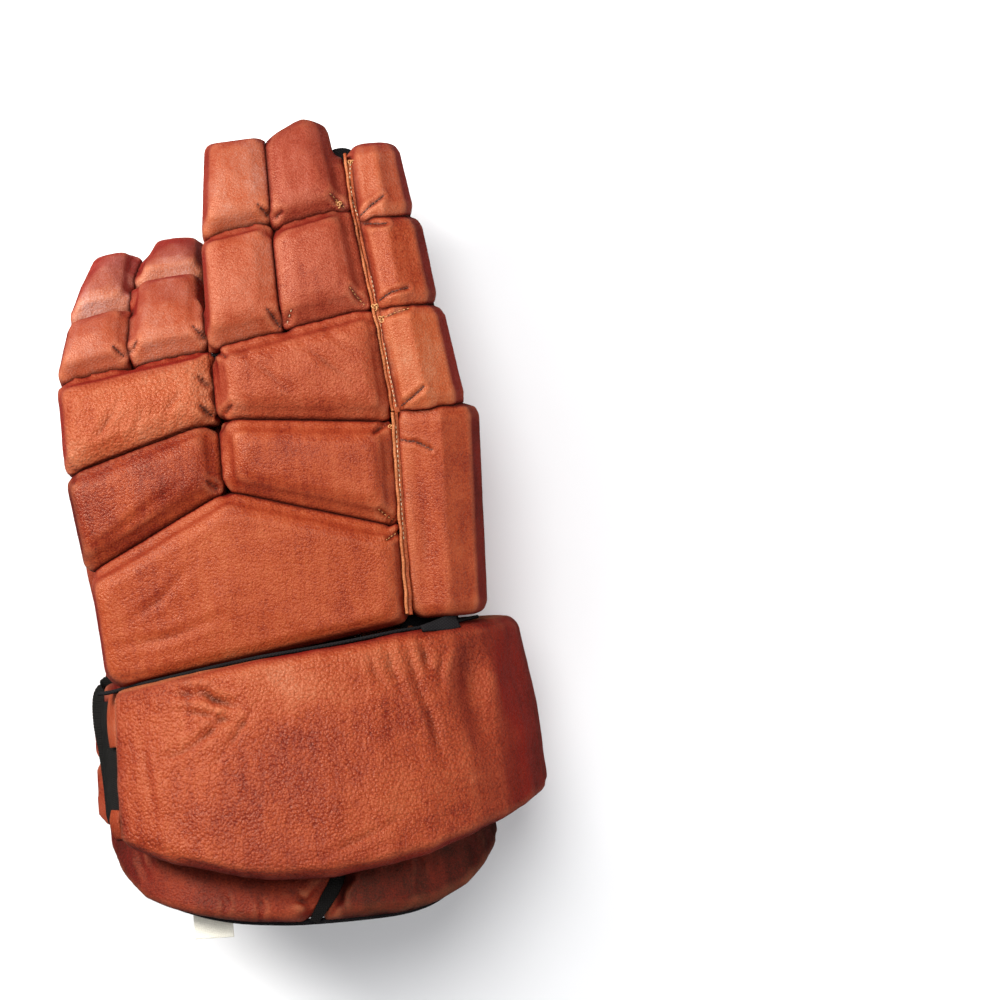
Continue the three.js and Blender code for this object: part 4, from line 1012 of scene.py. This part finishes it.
# %% Cloth and suede sheets
def rounded_sheet(node, levels):
    """The solid's few faces as a round sheet."""
    piece = merged_copy(node, node + "_sheet")
    work = bmesh.new()
    work.from_mesh(piece.data)
    most_bent, most_askew = math.radians(50), math.radians(60)
    bmesh.ops.join_triangles(
        work, faces=work.faces, angle_face_threshold=most_bent, angle_shape_threshold=most_askew
    )
    work.to_mesh(piece.data)
    work.free()
    if levels:
        made = piece.modifiers.new("rounded", "SUBSURF")
        made.levels = made.render_levels = levels
        applied(piece)
    return piece


BEND_SCALE = 45.0


def rumple(piece, size, seed):
    """Slow bends, by at most that many millimetres."""
    co = points_of(piece.data)
    offset = Vector((seed, seed * 2.1, 4.2))
    push = np.array([noise.noise_vector(Vector(p) * BEND_SCALE + offset) for p in co])
    set_points(piece.data, co + push * size * MM)


SHEETS = [
    # solid, finish, slot, subdivisions, rumple in millimetres, flat width and length in metres
    ("index_sleeve", knit, "cloth", 2, 0.6, (0.084, 0.074)),
    ("middle_sleeve", knit, "cloth", 2, 0.6, (0.074, 0.069)),
    ("ring_sleeve", knit, "cloth", 2, 0.6, (0.07, 0.053)),
    ("little_sleeve", knit, "cloth", 2, 0.6, (0.058, 0.043)),
    ("thumb_sleeve", knit, "cloth", 2, 0.5, (0.115, 0.075)),
    ("hand_lining", knit, "cloth", 1, 0.2, (0.197, 0.1)),
    ("cuff_lining", knit, "cloth", 2, 0.3, (0.39, 0.077)),
    ("index_facing", suede, "suede", 3, 0.35, (0.02, 0.057)),
    ("middle_facing", suede, "suede", 3, 0.35, (0.016, 0.053)),
    ("ring_facing", suede, "suede", 3, 0.35, (0.015, 0.037)),
    ("little_facing", suede, "suede", 3, 0.35, (0.014, 0.026)),
    ("palm_suede", suede, "suede", 3, 0.4, (0.075, 0.019)),
    ("thumb_web", suede, "suede", 3, 0.3, (0.042, 0.05)),
    ("thumb_wall", suede, "suede", 3, 0.2, (0.016, 0.1)),
]


def back_in_leather(piece):
    """The back of the hand has leather under its pads. It is made darkest, as painted shade in the
    grooves.
    """
    piece.data.materials.append(leather)
    set_leather_numbers(piece.data, tone=-1.0, side=1.0)
    for face in piece.data.polygons:
        face.material_index = int(face.normal.z > 0.2)


noise.seed_set(1)  # the bends are the same each run
sheets = {}
for seed, (node, finish, slot, levels, size, flat) in enumerate(SHEETS):
    piece = rounded_sheet(node, levels)
    if node == "cuff_lining":
        rim_moved(piece.data)
    rumple(piece, size, seed)
    wear(piece, finish)
    if node == "hand_lining":
        back_in_leather(piece)
    rides(piece, slot, node)
    sheets[node] = piece
print("sheets:", {node: len(piece.data.polygons) for node, piece in sheets.items()})

# %% [markdown]
# Tapes, seams, piping and the label are strips with a constant section that follow a path. One
# helper sweeps a section along the path: the path is a smooth curve through a few places, and each
# place says which way the strip's width lies. It also stores the distance along the strip, which
# the ribs of a woven tape need.

# %% Sweep a section along a path
def sweep(name, places, section, step, vary=None):
    """A closed strip. A place is x, y and z in drawing millimetres and the direction of the width.
    The section lists its corners, across the width and through the thickness, in millimetres."""
    path, passed = smooth_path(places, step)
    centre = spots(path[:, :3])
    along = np.gradient(centre, axis=0)
    along /= np.linalg.norm(along, axis=1)[:, None]
    across = path[:, 3:6] - (path[:, 3:6] * along).sum(1)[:, None] * along
    across /= np.linalg.norm(across, axis=1)[:, None]
    off = np.cross(along, across)
    section = np.asarray(section, float) * MM
    rings = []
    for i in range(len(centre)):
        shape = section if vary is None else vary(passed[i], section)
        rings.append(centre[i] + shape[:, :1] * across[i] + shape[:, 1:] * off[i])
    n = len(section)
    co = np.vstack([*rings, centre[:1], centre[-1:]])
    first, last = len(co) - 2, len(co) - 1
    end = (len(rings) - 1) * n
    sides = [(i, (i + 1) % n) for i in range(n)]
    faces = [(r + i, r + j, r + n + j, r + n + i) for r in range(0, end, n) for i, j in sides]
    faces += [(j, i, first) for i, j in sides] + [(end + i, end + j, last) for i, j in sides]
    mesh = bpy.data.meshes.new(name)
    mesh.from_pydata([tuple(p) for p in co], [], faces)
    work = bmesh.new()
    work.from_mesh(mesh)
    bmesh.ops.recalc_face_normals(work, faces=work.faces)
    work.to_mesh(mesh)
    work.free()
    along_strip = np.concatenate([np.repeat(passed, n), passed[[0, -1]]]) * MM
    keep_number(mesh, "along", along_strip)
    return linked(name, mesh)


def flat_section(width, thick, parts=6):
    """A strip's section with round edges."""
    turns = np.linspace(0, np.pi, parts)
    across = width / 2 - thick / 2 + np.sin(turns) * thick / 2
    right = np.stack([across, np.cos(turns) * thick / 2], axis=1)
    left = right[::-1] * (-1, 1)
    return np.vstack([right, left])


# %% [markdown]
# The woven tape has a rib every millimetre or so, where its weft is packed. A small Geometry Nodes
# tree makes them: it moves each point along its normal by a wave of the distance along the tape.
# The pitch and the depth are inputs of the tree, so that every tape can use it.

# %% Ribs for the tapes
def geo(tree, kind, inputs=(), **settings):
    """Adds a Geometry Nodes node and gives its first output."""
    return add(tree, "GeometryNode" + kind, inputs, **settings).outputs[0]


def tree_with(name, **inputs):
    """A Geometry Nodes tree with a geometry and these inputs. Gives the tree and its two ends."""
    tree = bpy.data.node_groups.new(name, "GeometryNodeTree")
    tree.interface.new_socket("Geometry", in_out="INPUT", socket_type="NodeSocketGeometry")
    for label, kind in [*inputs.items(), ("Material", "Material")]:
        tree.interface.new_socket(label, in_out="INPUT", socket_type="NodeSocket" + kind)
    tree.interface.new_socket("Geometry", in_out="OUTPUT", socket_type="NodeSocketGeometry")
    return tree, tree.nodes.new("NodeGroupInput"), tree.nodes.new("NodeGroupOutput")


def end_tree(tree, given, out, geometry):
    """Every tree ends in real geometry with its material."""
    real = geo(tree, "RealizeInstances", {"Geometry": geometry})
    worn = geo(tree, "SetMaterial", {"Geometry": real, "Material": given.outputs["Material"]})
    tree.links.new(worn, out.inputs["Geometry"])


def grown(piece, tree, values):
    """Runs the tree on the piece with these values of its named inputs, and keeps the plain mesh."""
    made = piece.modifiers.new(tree.name, "NODES")
    made.node_group = tree
    for item in tree.interface.items_tree:
        if item.in_out == "INPUT" and item.name in values:
            made[item.identifier] = values[item.name]
    return applied(piece)


rib_tree, given, out = tree_with("ribs", Pitch="Float", Depth="Float")
distance = geo(rib_tree, "InputNamedAttribute", {"Name": "along"}, data_type="FLOAT")
turns = math_node(rib_tree, "DIVIDE", distance, given.outputs["Pitch"])
wave = math_node(rib_tree, "SINE", weighed(rib_tree, turns, math.tau))
height = weighed(rib_tree, wave, given.outputs["Depth"])
outward = {0: geo(rib_tree, "InputNormal"), "Scale": height}
move = add(rib_tree, "ShaderNodeVectorMath", outward, operation="SCALE").outputs[0]
moved = geo(rib_tree, "SetPosition", {"Geometry": given.outputs["Geometry"], "Offset": move})
end_tree(rib_tree, given, out, moved)


def ribbed(strip, pitch=1.2, depth=0.1):
    """The strip with ribs, in black tape. The sizes are in millimetres."""
    grown(strip, rib_tree, {"Pitch": pitch * MM, "Depth": depth * MM, "Material": tape_yarn})
    return wear(strip, tape_yarn)


print("tree:", rib_tree.name, [item.name for item in rib_tree.interface.items_tree])

# %% [markdown]
# Five tapes bind the edges of the hand: two on the thumb, one on each outer side and one across the
# wrist. They take the places of their solids. The open side of the cuff is closed by a wide elastic
# with coarser ribs.

# %% Tapes
TAPES = {
    # name: width and thickness in millimetres, and its places with the direction of its width
    "thumb_inner_tape": (10, 3.2, [
        (24, 119, 7.4, 0, 0, 1), (21.4, 160, 7.4, 0, 0, 1), (20.4, 201, 7.4, 0, 0, 1),
        (22, 225, 7.4, 0, 0, 1), (25, 245, 8.4, 0, 0, 1), (31, 260, 11.4, 0, 0, 1)]),
    "thumb_outer_tape": (8, 2.6, [
        (72.6, 202, 36.6, 1, 0, 0), (70.6, 226, 35.6, 1, 0, 0), (67.2, 246, 32.6, 1, 0, 0),
        (62.2, 261, 28.6, 1, 0, 0), (56.2, 271, 23.6, 1, 0, 0)]),
    "index_side_tape": (8, 2.4, [
        (80.6, 206.4, 51.4, 1, 0, 1), (74.0, 247.1, 48.9, 1, 0, 1), (67.4, 284.5, 41.2, 1, 0, 1),
        (62.2, 313, 32.7, 1, 0, 1)]),
    "little_side_tape": (10, 3.2, [
        (-53.4, 121.7, 19.8, 0.9, 0, 0.7), (-53.8, 140, 20.6, 0.9, 0, 0.7),
        (-53.6, 170, 22.6, 0.9, 0, 0.7), (-52.6, 196, 25.4, 0.9, 0, 0.7),
        (-50.4, 206, 27.4, 0.9, 0.3, 0.7)]),
    "wrist_tape": (12, 3, [
        (19.8, 117, 18.6, 0, 0.7, 0.8), (-10, 117, 18.6, 0, 0.7, 0.8), (-44, 117, 18.6, 0, 0.7, 0.8),
        (-60, 117.4, 22, 0.3, 0.5, 0.8)]),
}
for name, (width, thick, places) in TAPES.items():
    rides(ribbed(sweep(name + "_woven", places, flat_section(width, thick), 0.3)), "webbing", name)
print("tapes:", len(TAPES))

# %% Elastic in the open side of the cuff
elastic = rounded_sheet("cuff_elastic", 3)
keep_number(elastic.data, "along", points_of(elastic.data)[:, 1])
rides(ribbed(elastic, 2.0, 0.2), "webbing", "cuff_elastic")
print("elastic faces:", len(elastic.data.polygons))

# %% [markdown]
# Two raw edges of leather are sewn together beside the blocks. One ply stands up and shows its
# pale, frayed cut edge. The other lies over beside it as a flat lip, and carries the stitches. On
# the palm side, the raw edge of the palm panel stands between it and the roll.

# %% Raw-edge seams
SEAMS = {
    "index_seam": [(57.4, 204), (53.1, 246), (48.1, 285), (46.4, 310)],
    "back_seam": [(56, 121), (56.2, 160), (57, 204)],
}
PLY, LIP, PLY_STEP = 1.3, 1.1, 0.6  # how thick the two plies are, and the step along them
SEAM_HEIGHT = 17.0
LIPS = {"index_seam": (2.7, 0.9), "back_seam": (1.7, 1.6)}  # width, and how far below the raw edge


def seam_height(node):
    """The height of the seam's middle along Y, read from its solid."""
    co = drawn(points_of(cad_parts[node].data))
    order = np.argsort(co[:, 1])
    rows = np.array([co[order[k : k + 8]].mean(0) for k in range(0, len(order) - 8, 8)])
    return lambda y: np.interp(y, rows[:, 1], rows[:, 2])


def wander(passed, along, row, size):
    """A slow noise along the seam, in metres. The rows give different lines."""
    return noise.noise(Vector((passed * along, *row))) * size * MM


def frayed(passed, section):
    """The raw ply wanders a little, and its cut edge is uneven."""
    shape = section.copy()
    top = shape[:, 0] > 0
    shape[:, 1] += wander(passed, 0.16, (3.0, 8.1), 0.5)
    shape[top, 0] += wander(passed, 0.21, (5.0, 1.7), 0.9)
    shape[top, 0] += wander(passed, 1.3, (7.0, 2.2), 0.5)
    return shape


def wandering(passed, section):
    """The lip follows the raw ply."""
    shape = section.copy()
    shape[:, 0] += wander(passed, 0.16, (3.0, 8.1), 0.5)
    return shape


def seam_leather(ply, tone_level, raw):
    """Leather of that tone, raw where its cut edge shows."""
    set_leather_numbers(ply.data, tone=tone_level, pebble=0.2, raw=raw)
    return wear(ply, leather)


seams = {}
reach, thick = SEAM_HEIGHT / 2, PLY / 2
upright = [
    (-reach, -thick), (0, -thick), (reach - 3, -thick), (reach - 0.5, -thick), (reach, -thick * 0.5),
    (reach, thick * 0.5), (reach - 0.5, thick), (reach - 3, thick), (0, thick), (-reach, thick),
]
for node, line in SEAMS.items():
    level = seam_height(node)
    width, drop = LIPS[node]
    places = [(x - PLY * 0.5, y, level(y), 0, 0, 1) for x, y in line]
    edge = sweep(node + "_raw_edge", places, upright, PLY_STEP, frayed)
    co = drawn(points_of(edge.data))
    below_top = level(co[:, 1]) + reach - co[:, 2]
    rides(seam_leather(edge, 0.3, np.clip(1.2 - below_top / 2, 0, 1)), "leather", node)
    places = [(x + width / 2, y, level(y) + reach - drop, 1, 0, -0.25) for x, y in line]
    lip = sweep(node + "_lip", places, flat_section(width, LIP), PLY_STEP, wandering)
    rides(seam_leather(lip, 0.1, 0.2), "leather")
    seams[node] = [edge, lip]

places = [(36.2, y, 0.6 + reach, 0, 0, -1) for y in (48, 60, 72, 84, 96, 104)]
palm_edge = sweep("palm_panel_raw_edge", places, upright, PLY_STEP, frayed)
height = drawn(points_of(palm_edge.data))[:, 2]
rides(seam_leather(palm_edge, 0.3, np.clip(1.4 - height / 3, 0, 1)), "leather")
print("seam plies:", sum(map(len, seams.values())))

# %% [markdown]
# The heel of the palm is covered by a net with rows of small oblong holes. Geometry Nodes makes it
# from one flat grid: each face gets a copy of itself, shrunk, which is deleted, and a subdivision
# surface rounds the hole that is left. A last step lays the flat net on the palm, between four
# corners, and gives it a thickness.

# %% Net
TOUCHING = 1e-4

net_tree, given, out = tree_with("net", Columns="Int", Rows="Int", Hole="Float", Thickness="Float")
columns, rows = [plus(net_tree, given.outputs[label], 1.0) for label in ("Columns", "Rows")]
sheet = {"Size X": 1.0, "Size Y": 1.0, "Vertices X": columns, "Vertices Y": rows}
lids = {"Mesh": geo(net_tree, "MeshGrid", sheet), "Offset Scale": 0.0, "Individual": True}
lids = add(net_tree, "GeometryNodeExtrudeMesh", lids)
top = lids.outputs["Top"]
shrink = {"Geometry": lids.outputs["Mesh"], "Selection": top, "Scale": given.outputs["Hole"]}
small = geo(net_tree, "ScaleElements", shrink)
holed = geo(net_tree, "DeleteGeometry", {"Geometry": small, "Selection": top}, domain="FACE")
joined = geo(net_tree, "MergeByDistance", {"Geometry": holed, "Distance": TOUCHING})
grow = {"Mesh": joined, "Offset Scale": given.outputs["Thickness"], "Individual": False}
both = add(net_tree, "GeometryNodeJoinGeometry")
for part in (geo(net_tree, "ExtrudeMesh", grow), geo(net_tree, "FlipFaces", {"Mesh": joined})):
    net_tree.links.new(part, both.inputs[0])
whole = geo(net_tree, "MergeByDistance", {"Geometry": both.outputs[0], "Distance": TOUCHING})
soft_net = geo(net_tree, "SubdivisionSurface", {"Mesh": whole, "Level": 1})
end_tree(net_tree, given, out, soft_net)
print("tree:", net_tree.name, "nodes:", len(net_tree.nodes))

# %% Lay the net on the palm
NET_CORNERS = spots([(-48, 121.6, 25.4), (19, 121.6, 25.4), (-44, 207, 33), (14.6, 222.6, 35.6)])
NET_SIZE = {"Columns": 17, "Rows": 26, "Hole": 0.52, "Thickness": 0.018, "Material": net_yarn}
YARN_HEIGHT, NET_HOLLOW, NET_LIFT = 0.06, 0.0016, 0.0008

net = linked("palm_net_cloth", bpy.data.meshes.new("palm_net_cloth"))
grown(net, net_tree, NET_SIZE)
co = points_of(net.data)
u, v = co[:, :1] + 0.5, co[:, 1:2] + 0.5
near_left, near_right, far_left, far_right = NET_CORNERS
flat = (near_left * (1 - u) + near_right * u) * (1 - v) + (far_left * (1 - u) + far_right * u) * v
hollow = NET_HOLLOW * np.sin(np.pi * u[:, 0]) * np.sin(np.pi * v[:, 0])
flat[:, 2] += co[:, 2] * YARN_HEIGHT - hollow + NET_LIFT
set_points(net.data, flat)
wear(net, net_yarn)
rides(net, "net", "palm_net")
print("net faces:", len(net.data.polygons))

# %% [markdown]
# Thin trim finishes the cuff. A round piping of black cloth is sewn along the rim, and a flat
# edging of the same cloth shows above the roll. It has a loose end that lies on the thumb's side.
# Cloth also closes the gap round the wrist. All of it follows the cuff's formula.

# %% Piping and cloth round the cuff
def round_section(radius, parts=8):
    turns = np.linspace(0, math.tau, parts, endpoint=False)
    return np.stack([np.cos(turns) * radius, np.sin(turns) * radius], axis=1)


def widening(passed, section):
    """The loose end of the edging is narrow where it leaves the groove and wide where it is cut off."""
    return section * (0.45 + 0.55 * min(passed / 12, 1), 1)


def cloth_strip(name, places, section, step, vary=None):
    return rides(wear(sweep(name, places, section, step, vary), knit), "cloth")


def round_the_cuff(angles, spot, way):
    """Places round the cuff. The spot gives the distance from the rim and how far out, at an angle."""
    return [(*cuff_spot(angle, *spot(angle)), *way) for angle in angles]


places = round_the_cuff(np.linspace(-72, 178, 90), lambda a: (rim_at(a) - 0.5, 2.6), (0, 1, 0.01))
cloth_strip("rim_piping", places, round_section(1.3), 1.2)

places = round_the_cuff(
    np.linspace(24, 149, 30),
    lambda a: (cuff_edge(a, 2) + 0.2, cuff_edge(a, 3) + 9.0),
    (0, 0.01, 1),
)
cloth_strip("roll_edging", places, flat_section(9, 1.5), 1.0)

LOOSE_FROM, LOOSE_TO, LOOSE_RISE = 55, 42, 0.06
places = round_the_cuff(
    np.linspace(LOOSE_FROM, LOOSE_TO, 10),
    lambda a: (cuff_edge(a, 2) + 0.2 + LOOSE_RISE * (LOOSE_FROM - a), cuff_edge(a, 3) + 18.6),
    (0, 1, -0.6),
)
cloth_strip("roll_edging_end", places, flat_section(6.5, 1.3), 0.8, widening)

places = round_the_cuff(np.linspace(-50, 50, 24), lambda a: (118.6, 9), (0, 1, 0.01))
cloth_strip("wrist_cloth", places, flat_section(9, 1.2), 1.2)
print("strips round the cuff: 4")

# %% [markdown]
# Beside the elastic, a black band binds the edge of the palm panel. Between the last block of the
# index finger and its side block, the cloth of the sleeve shows, and the same cloth closes the
# corner under the pads where the roots of the ring finger and the middle finger part. A tape lies
# under the slit of the lower cuff.

# %% Side binding, cloth in the gaps and the slit's tape
binding_places = [
    (-69.5, 103.5, 31, 0, 1, 0.3), (-74.2, 101.4, 28.6, 0.7, 0.7, 0.5), (-77.0, 96.4, 27.8, 1, 0, 0.6),
    (-77.6, 86, 28.0, 1, 0, 0.6), (-76.4, 74, 28.8, 1, 0, 0.6), (-75.6, 60, 29.6, 1, 0, 0.6),
    (-75.4, 47.4, 30.0, 1, 0, 0.6),
]
rides(ribbed(sweep("cuff_side_binding", binding_places, flat_section(6.4, 1.4), 0.3)), "webbing")

gusset_line = [(37.5, 307.5, 46), (41, 309.8, 49), (45.5, 309.6, 50.5), (50.5, 305.6, 50)]
places = [(*place, 0, 1, -0.45) for place in gusset_line]
cloth_strip("index_gusset", places, flat_section(13, 1.6), 0.8)

places = [(x, y, 73.6, 0, 0, 1) for x, y in ((-21, 233), (-14.5, 234.2), (-8, 235.4))]
cloth_strip("finger_root_cloth", places, flat_section(12, 1.4), 0.8)

SLIT_STEPS = (-0.2, 4, 8, 13, 18, 24)
TAPE_DEPTH = 4.2
slit_places = []
lower_pads = pads["cuff_lower_thumb"], pads["cuff_lower_little"]
lower = np.vstack([drawn(points_of(pad.data)) for pad in lower_pads])
for y in SLIT_STEPS:
    x = SLIT_X + SLIT_SLOPE * (min(y, SLIT_TOP) - 1)
    near = (np.abs(lower[:, 0] - x) < 9) & (np.abs(lower[:, 1] - y) < 3)
    slit_places.append((x, y, lower[near, 2].max() - TAPE_DEPTH, 1, 0, 0))


def narrowing(passed, section):
    """The tape is narrow at the rim and wider up the slit."""
    return section * (min(0.65 + 0.03 * passed, 1), 1)


rides(ribbed(sweep("cuff_slit_tape", slit_places, flat_section(6, 1.2), 0.3, narrowing)), "webbing")
print("slit tape from", [round(float(c), 1) for c in slit_places[0][:3]])

# %% [markdown]
# Two leather tabs hold the ends of the elastic, and a loop of cream tape is sewn into the rim as a
# blank label.

# %% Two leather tabs that hold the ends of the elastic
TABS = {
    "elastic_tab_upper": [(150.5, 99, 15.2), (150.5, 92, 16.6), (151, 84, 16.6), (151.5, 77, 15.6)],
    "elastic_tab_lower": [(154, 51, 15.0), (154.5, 47, 15.6), (155, 43, 14.8), (155.5, 39.5, 12.8)],
}
for name, spots_on_cuff in TABS.items():
    places = [(*cuff_spot(*spot), 0.5, 0, 0.87) for spot in spots_on_cuff]
    tab = sweep(name, places, flat_section(8, 2.2), 0.8)
    set_leather_numbers(tab.data, tone=0.2, red=0.3, pebble=0.3)
    rides(wear(tab, leather), "leather")
print("tabs:", list(TABS))

# %% Label, a blank loop of cream tape sewn into the rim
places = [(-35, y, z, 1, 0, 0.33) for y, z in ((16, 86.2), (6, 87.2), (-4.2, 86.9))]
label = sweep("rim_label_tape", places, flat_section(17, 1.2), 0.6)
rides(wear(label, cream_tape), "label", "rim_label")
print("label faces:", len(label.data.polygons))

# %% [markdown]
# Stitches are short lengths of thread with their ends sunk in the leather. A line of them starts as
# a path in plan. A ray from above, or from below on the palm side, finds the leather under each
# point of the path. Geometry Nodes then puts one long bead at even steps along all the paths of a
# thread.

# %% Stitches
stitch_tree, given, out = tree_with("stitches", Pitch="Float", Length="Float", Thickness="Float")
curves = geo(stitch_tree, "MeshToCurve", {"Mesh": given.outputs["Geometry"]})
steps = {"Curve": curves, "Length": given.outputs["Pitch"]}
even = geo(stitch_tree, "ResampleCurve", steps, mode="LENGTH")
tangent = {"Vector": geo(stitch_tree, "InputTangent")}
turned = add(stitch_tree, "FunctionNodeAlignRotationToVector", tangent, axis="Z").outputs[0]
bead = geo(stitch_tree, "MeshUVSphere", {"Segments": 6, "Rings": 5, "Radius": 0.5})
thin, long = given.outputs["Thickness"], given.outputs["Length"]
size = add(stitch_tree, "ShaderNodeCombineXYZ", {"X": thin, "Y": thin, "Z": long}).outputs[0]
stitch = {"Points": even, "Instance": bead, "Rotation": turned, "Scale": size}
end_tree(stitch_tree, given, out, geo(stitch_tree, "InstanceOnPoints", stitch))
print("tree:", stitch_tree.name, "nodes:", len(stitch_tree.nodes))

# %% Lay lines on the leather
def surface_of(pieces):
    dg = bpy.context.evaluated_depsgraph_get()
    return [BVHTree.FromObject(piece, dg) for piece in pieces]


FAR_OFF = 0.4


def laid(line, trees, way, lift):
    """The line, in drawing millimetres, laid on the surfaces along rays from far outside."""
    path, _ = smooth_path([(*p, 0) if len(p) == 2 else p for p in line], 0.8)
    laid_points = []
    for p in spots(path[:, :3]):
        direction = Vector(way)
        start = Vector(p) - direction * FAR_OFF
        if abs(direction.z) > 0.5:
            start.z = -FAR_OFF * direction.z
        hits = [tree.ray_cast(start, direction) for tree in trees]
        hits = [hit for hit in hits if hit[0] is not None]
        if hits:
            where, normal, _, _ = min(hits, key=lambda hit: hit[3])
            laid_points.append(where + normal * lift)
    return laid_points


def stitch_object(name, lines, material, pitch, length, thick):
    """Stitches of one thread on all these lines. The sizes are in millimetres."""
    co, pairs = [], []
    for line in lines:
        start = len(co)
        co += [tuple(p) for p in line]
        pairs += [(i, i + 1) for i in range(start, len(co) - 1)]
    mesh = bpy.data.meshes.new(name)
    mesh.from_pydata(co, pairs, [])
    piece = linked(name, mesh)
    values = {"Pitch": pitch * MM, "Length": length * MM, "Thickness": thick * MM, "Material": material}
    grown(piece, stitch_tree, values)
    rides(wear(piece, material), "leather")
    print(name, "lines:", len(lines), "faces:", len(piece.data.polygons))


# %% Stitches in the darts, the seams and the palm
DOWN, UP = (0, 0, -1), (0, 0, 1)
dart_lines = {"dark": [], "tan": [], "pale": []}
for node, _, _, colour_name, line in DARTS:
    if colour_name != "none":
        dart_lines[colour_name].append(laid(line, surface_of([pads[node]]), DOWN, 0.1 * MM))

SEAM_STITCHES = [
    ("index_seam", [(47.6, 308), (47.0, 299.5), (47.6, 292), (49.4, 285)]),
    ("index_seam", [(50.1, 283.0), (51.3, 272.2), (52.9, 256.6), (54.0, 249)]),
    ("index_seam", [(54.6, 242), (56.2, 224), (58.0, 207)]),
    ("back_seam", [(57.4, 198), (57.0, 180.7), (56.6, 152.6)]),
]
PALM_STITCHES = [
    ("cuff_palm_panel", UP, [(-76, 70), (-40, 70), (0, 70), (32, 70)]),
    ("cuff_palm_panel", UP, [(-70, 104.6), (-40, 104.6), (0, 104.6), (29, 104.6)]),
    ("thumb_tip_pad", UP, [(26, 203.4), (45, 203.4), (68, 203.4)]),
    ("little_side_lower", (1, 0, 0), [(-76, 194.8, 24), (-76, 194.8, 45), (-76, 194.8, 62)]),
    ("little_side_upper", (1, 0, 0), [(-76, 227.6, 18), (-76, 227.6, 35), (-76, 227.6, 54)]),
]
seam_lines = [laid(line, surface_of(seams[node]), DOWN, 0.15 * MM) for node, line in SEAM_STITCHES]
palm_lines = [laid(line, surface_of([pads[node]]), way, 0.1 * MM) for node, way, line in PALM_STITCHES]
stitch_object("dark_stitches", dart_lines["dark"], dark_thread, 1.5, 1.2, 0.5)
stitch_object("tan_stitches", dart_lines["tan"], tan_thread, 1.7, 1.1, 0.42)
stitch_object("pale_stitches", dart_lines["pale"] + seam_lines, pale_thread, 1.9, 1.3, 0.42)
stitch_object("palm_stitches", palm_lines, tan_thread, 3.0, 2.2, 0.55)

# %% [markdown]
# The thread's ends are tied into small knots with three loops, which lie on the leather. Each one
# is a trefoil, swept with a round section.

# %% Knots where the thread ends
KNOTS = [(41.3, 291.6), (52.8, 248), (55.6, 242.8), (48.2, 308.6), (55.4, 198.1)]
KNOT_SIZE, KNOT_THREAD, KNOT_HEIGHT = 0.5, 0.27, 0.4
turns = np.linspace(0, math.tau, 40)
trefoil = np.sin(turns) + 2 * np.sin(2 * turns), np.cos(turns) - 2 * np.cos(2 * turns)
loops = np.stack(trefoil, axis=1) * KNOT_SIZE
under_knots = surface_of([pads[node] for node in groups[0]] + seams["index_seam"] + seams["back_seam"])
for number, (x, y) in enumerate(KNOTS):
    a, b, c = drawn(laid([(x, y), (x + 0.8, y)], under_knots, DOWN, 0.3 * MM)[0])
    rise = -KNOT_HEIGHT * np.sin(3 * turns)
    places = [(a + u, b + v, c + w, 0, 0, 1) for (u, v), w in zip(loops, rise)]
    knot = sweep(f"thread_knot_{number + 1}", places, round_section(KNOT_THREAD, 6), 0.3)
    rides(wear(knot, tan_thread), "leather")
print("knots:", len(KNOTS))
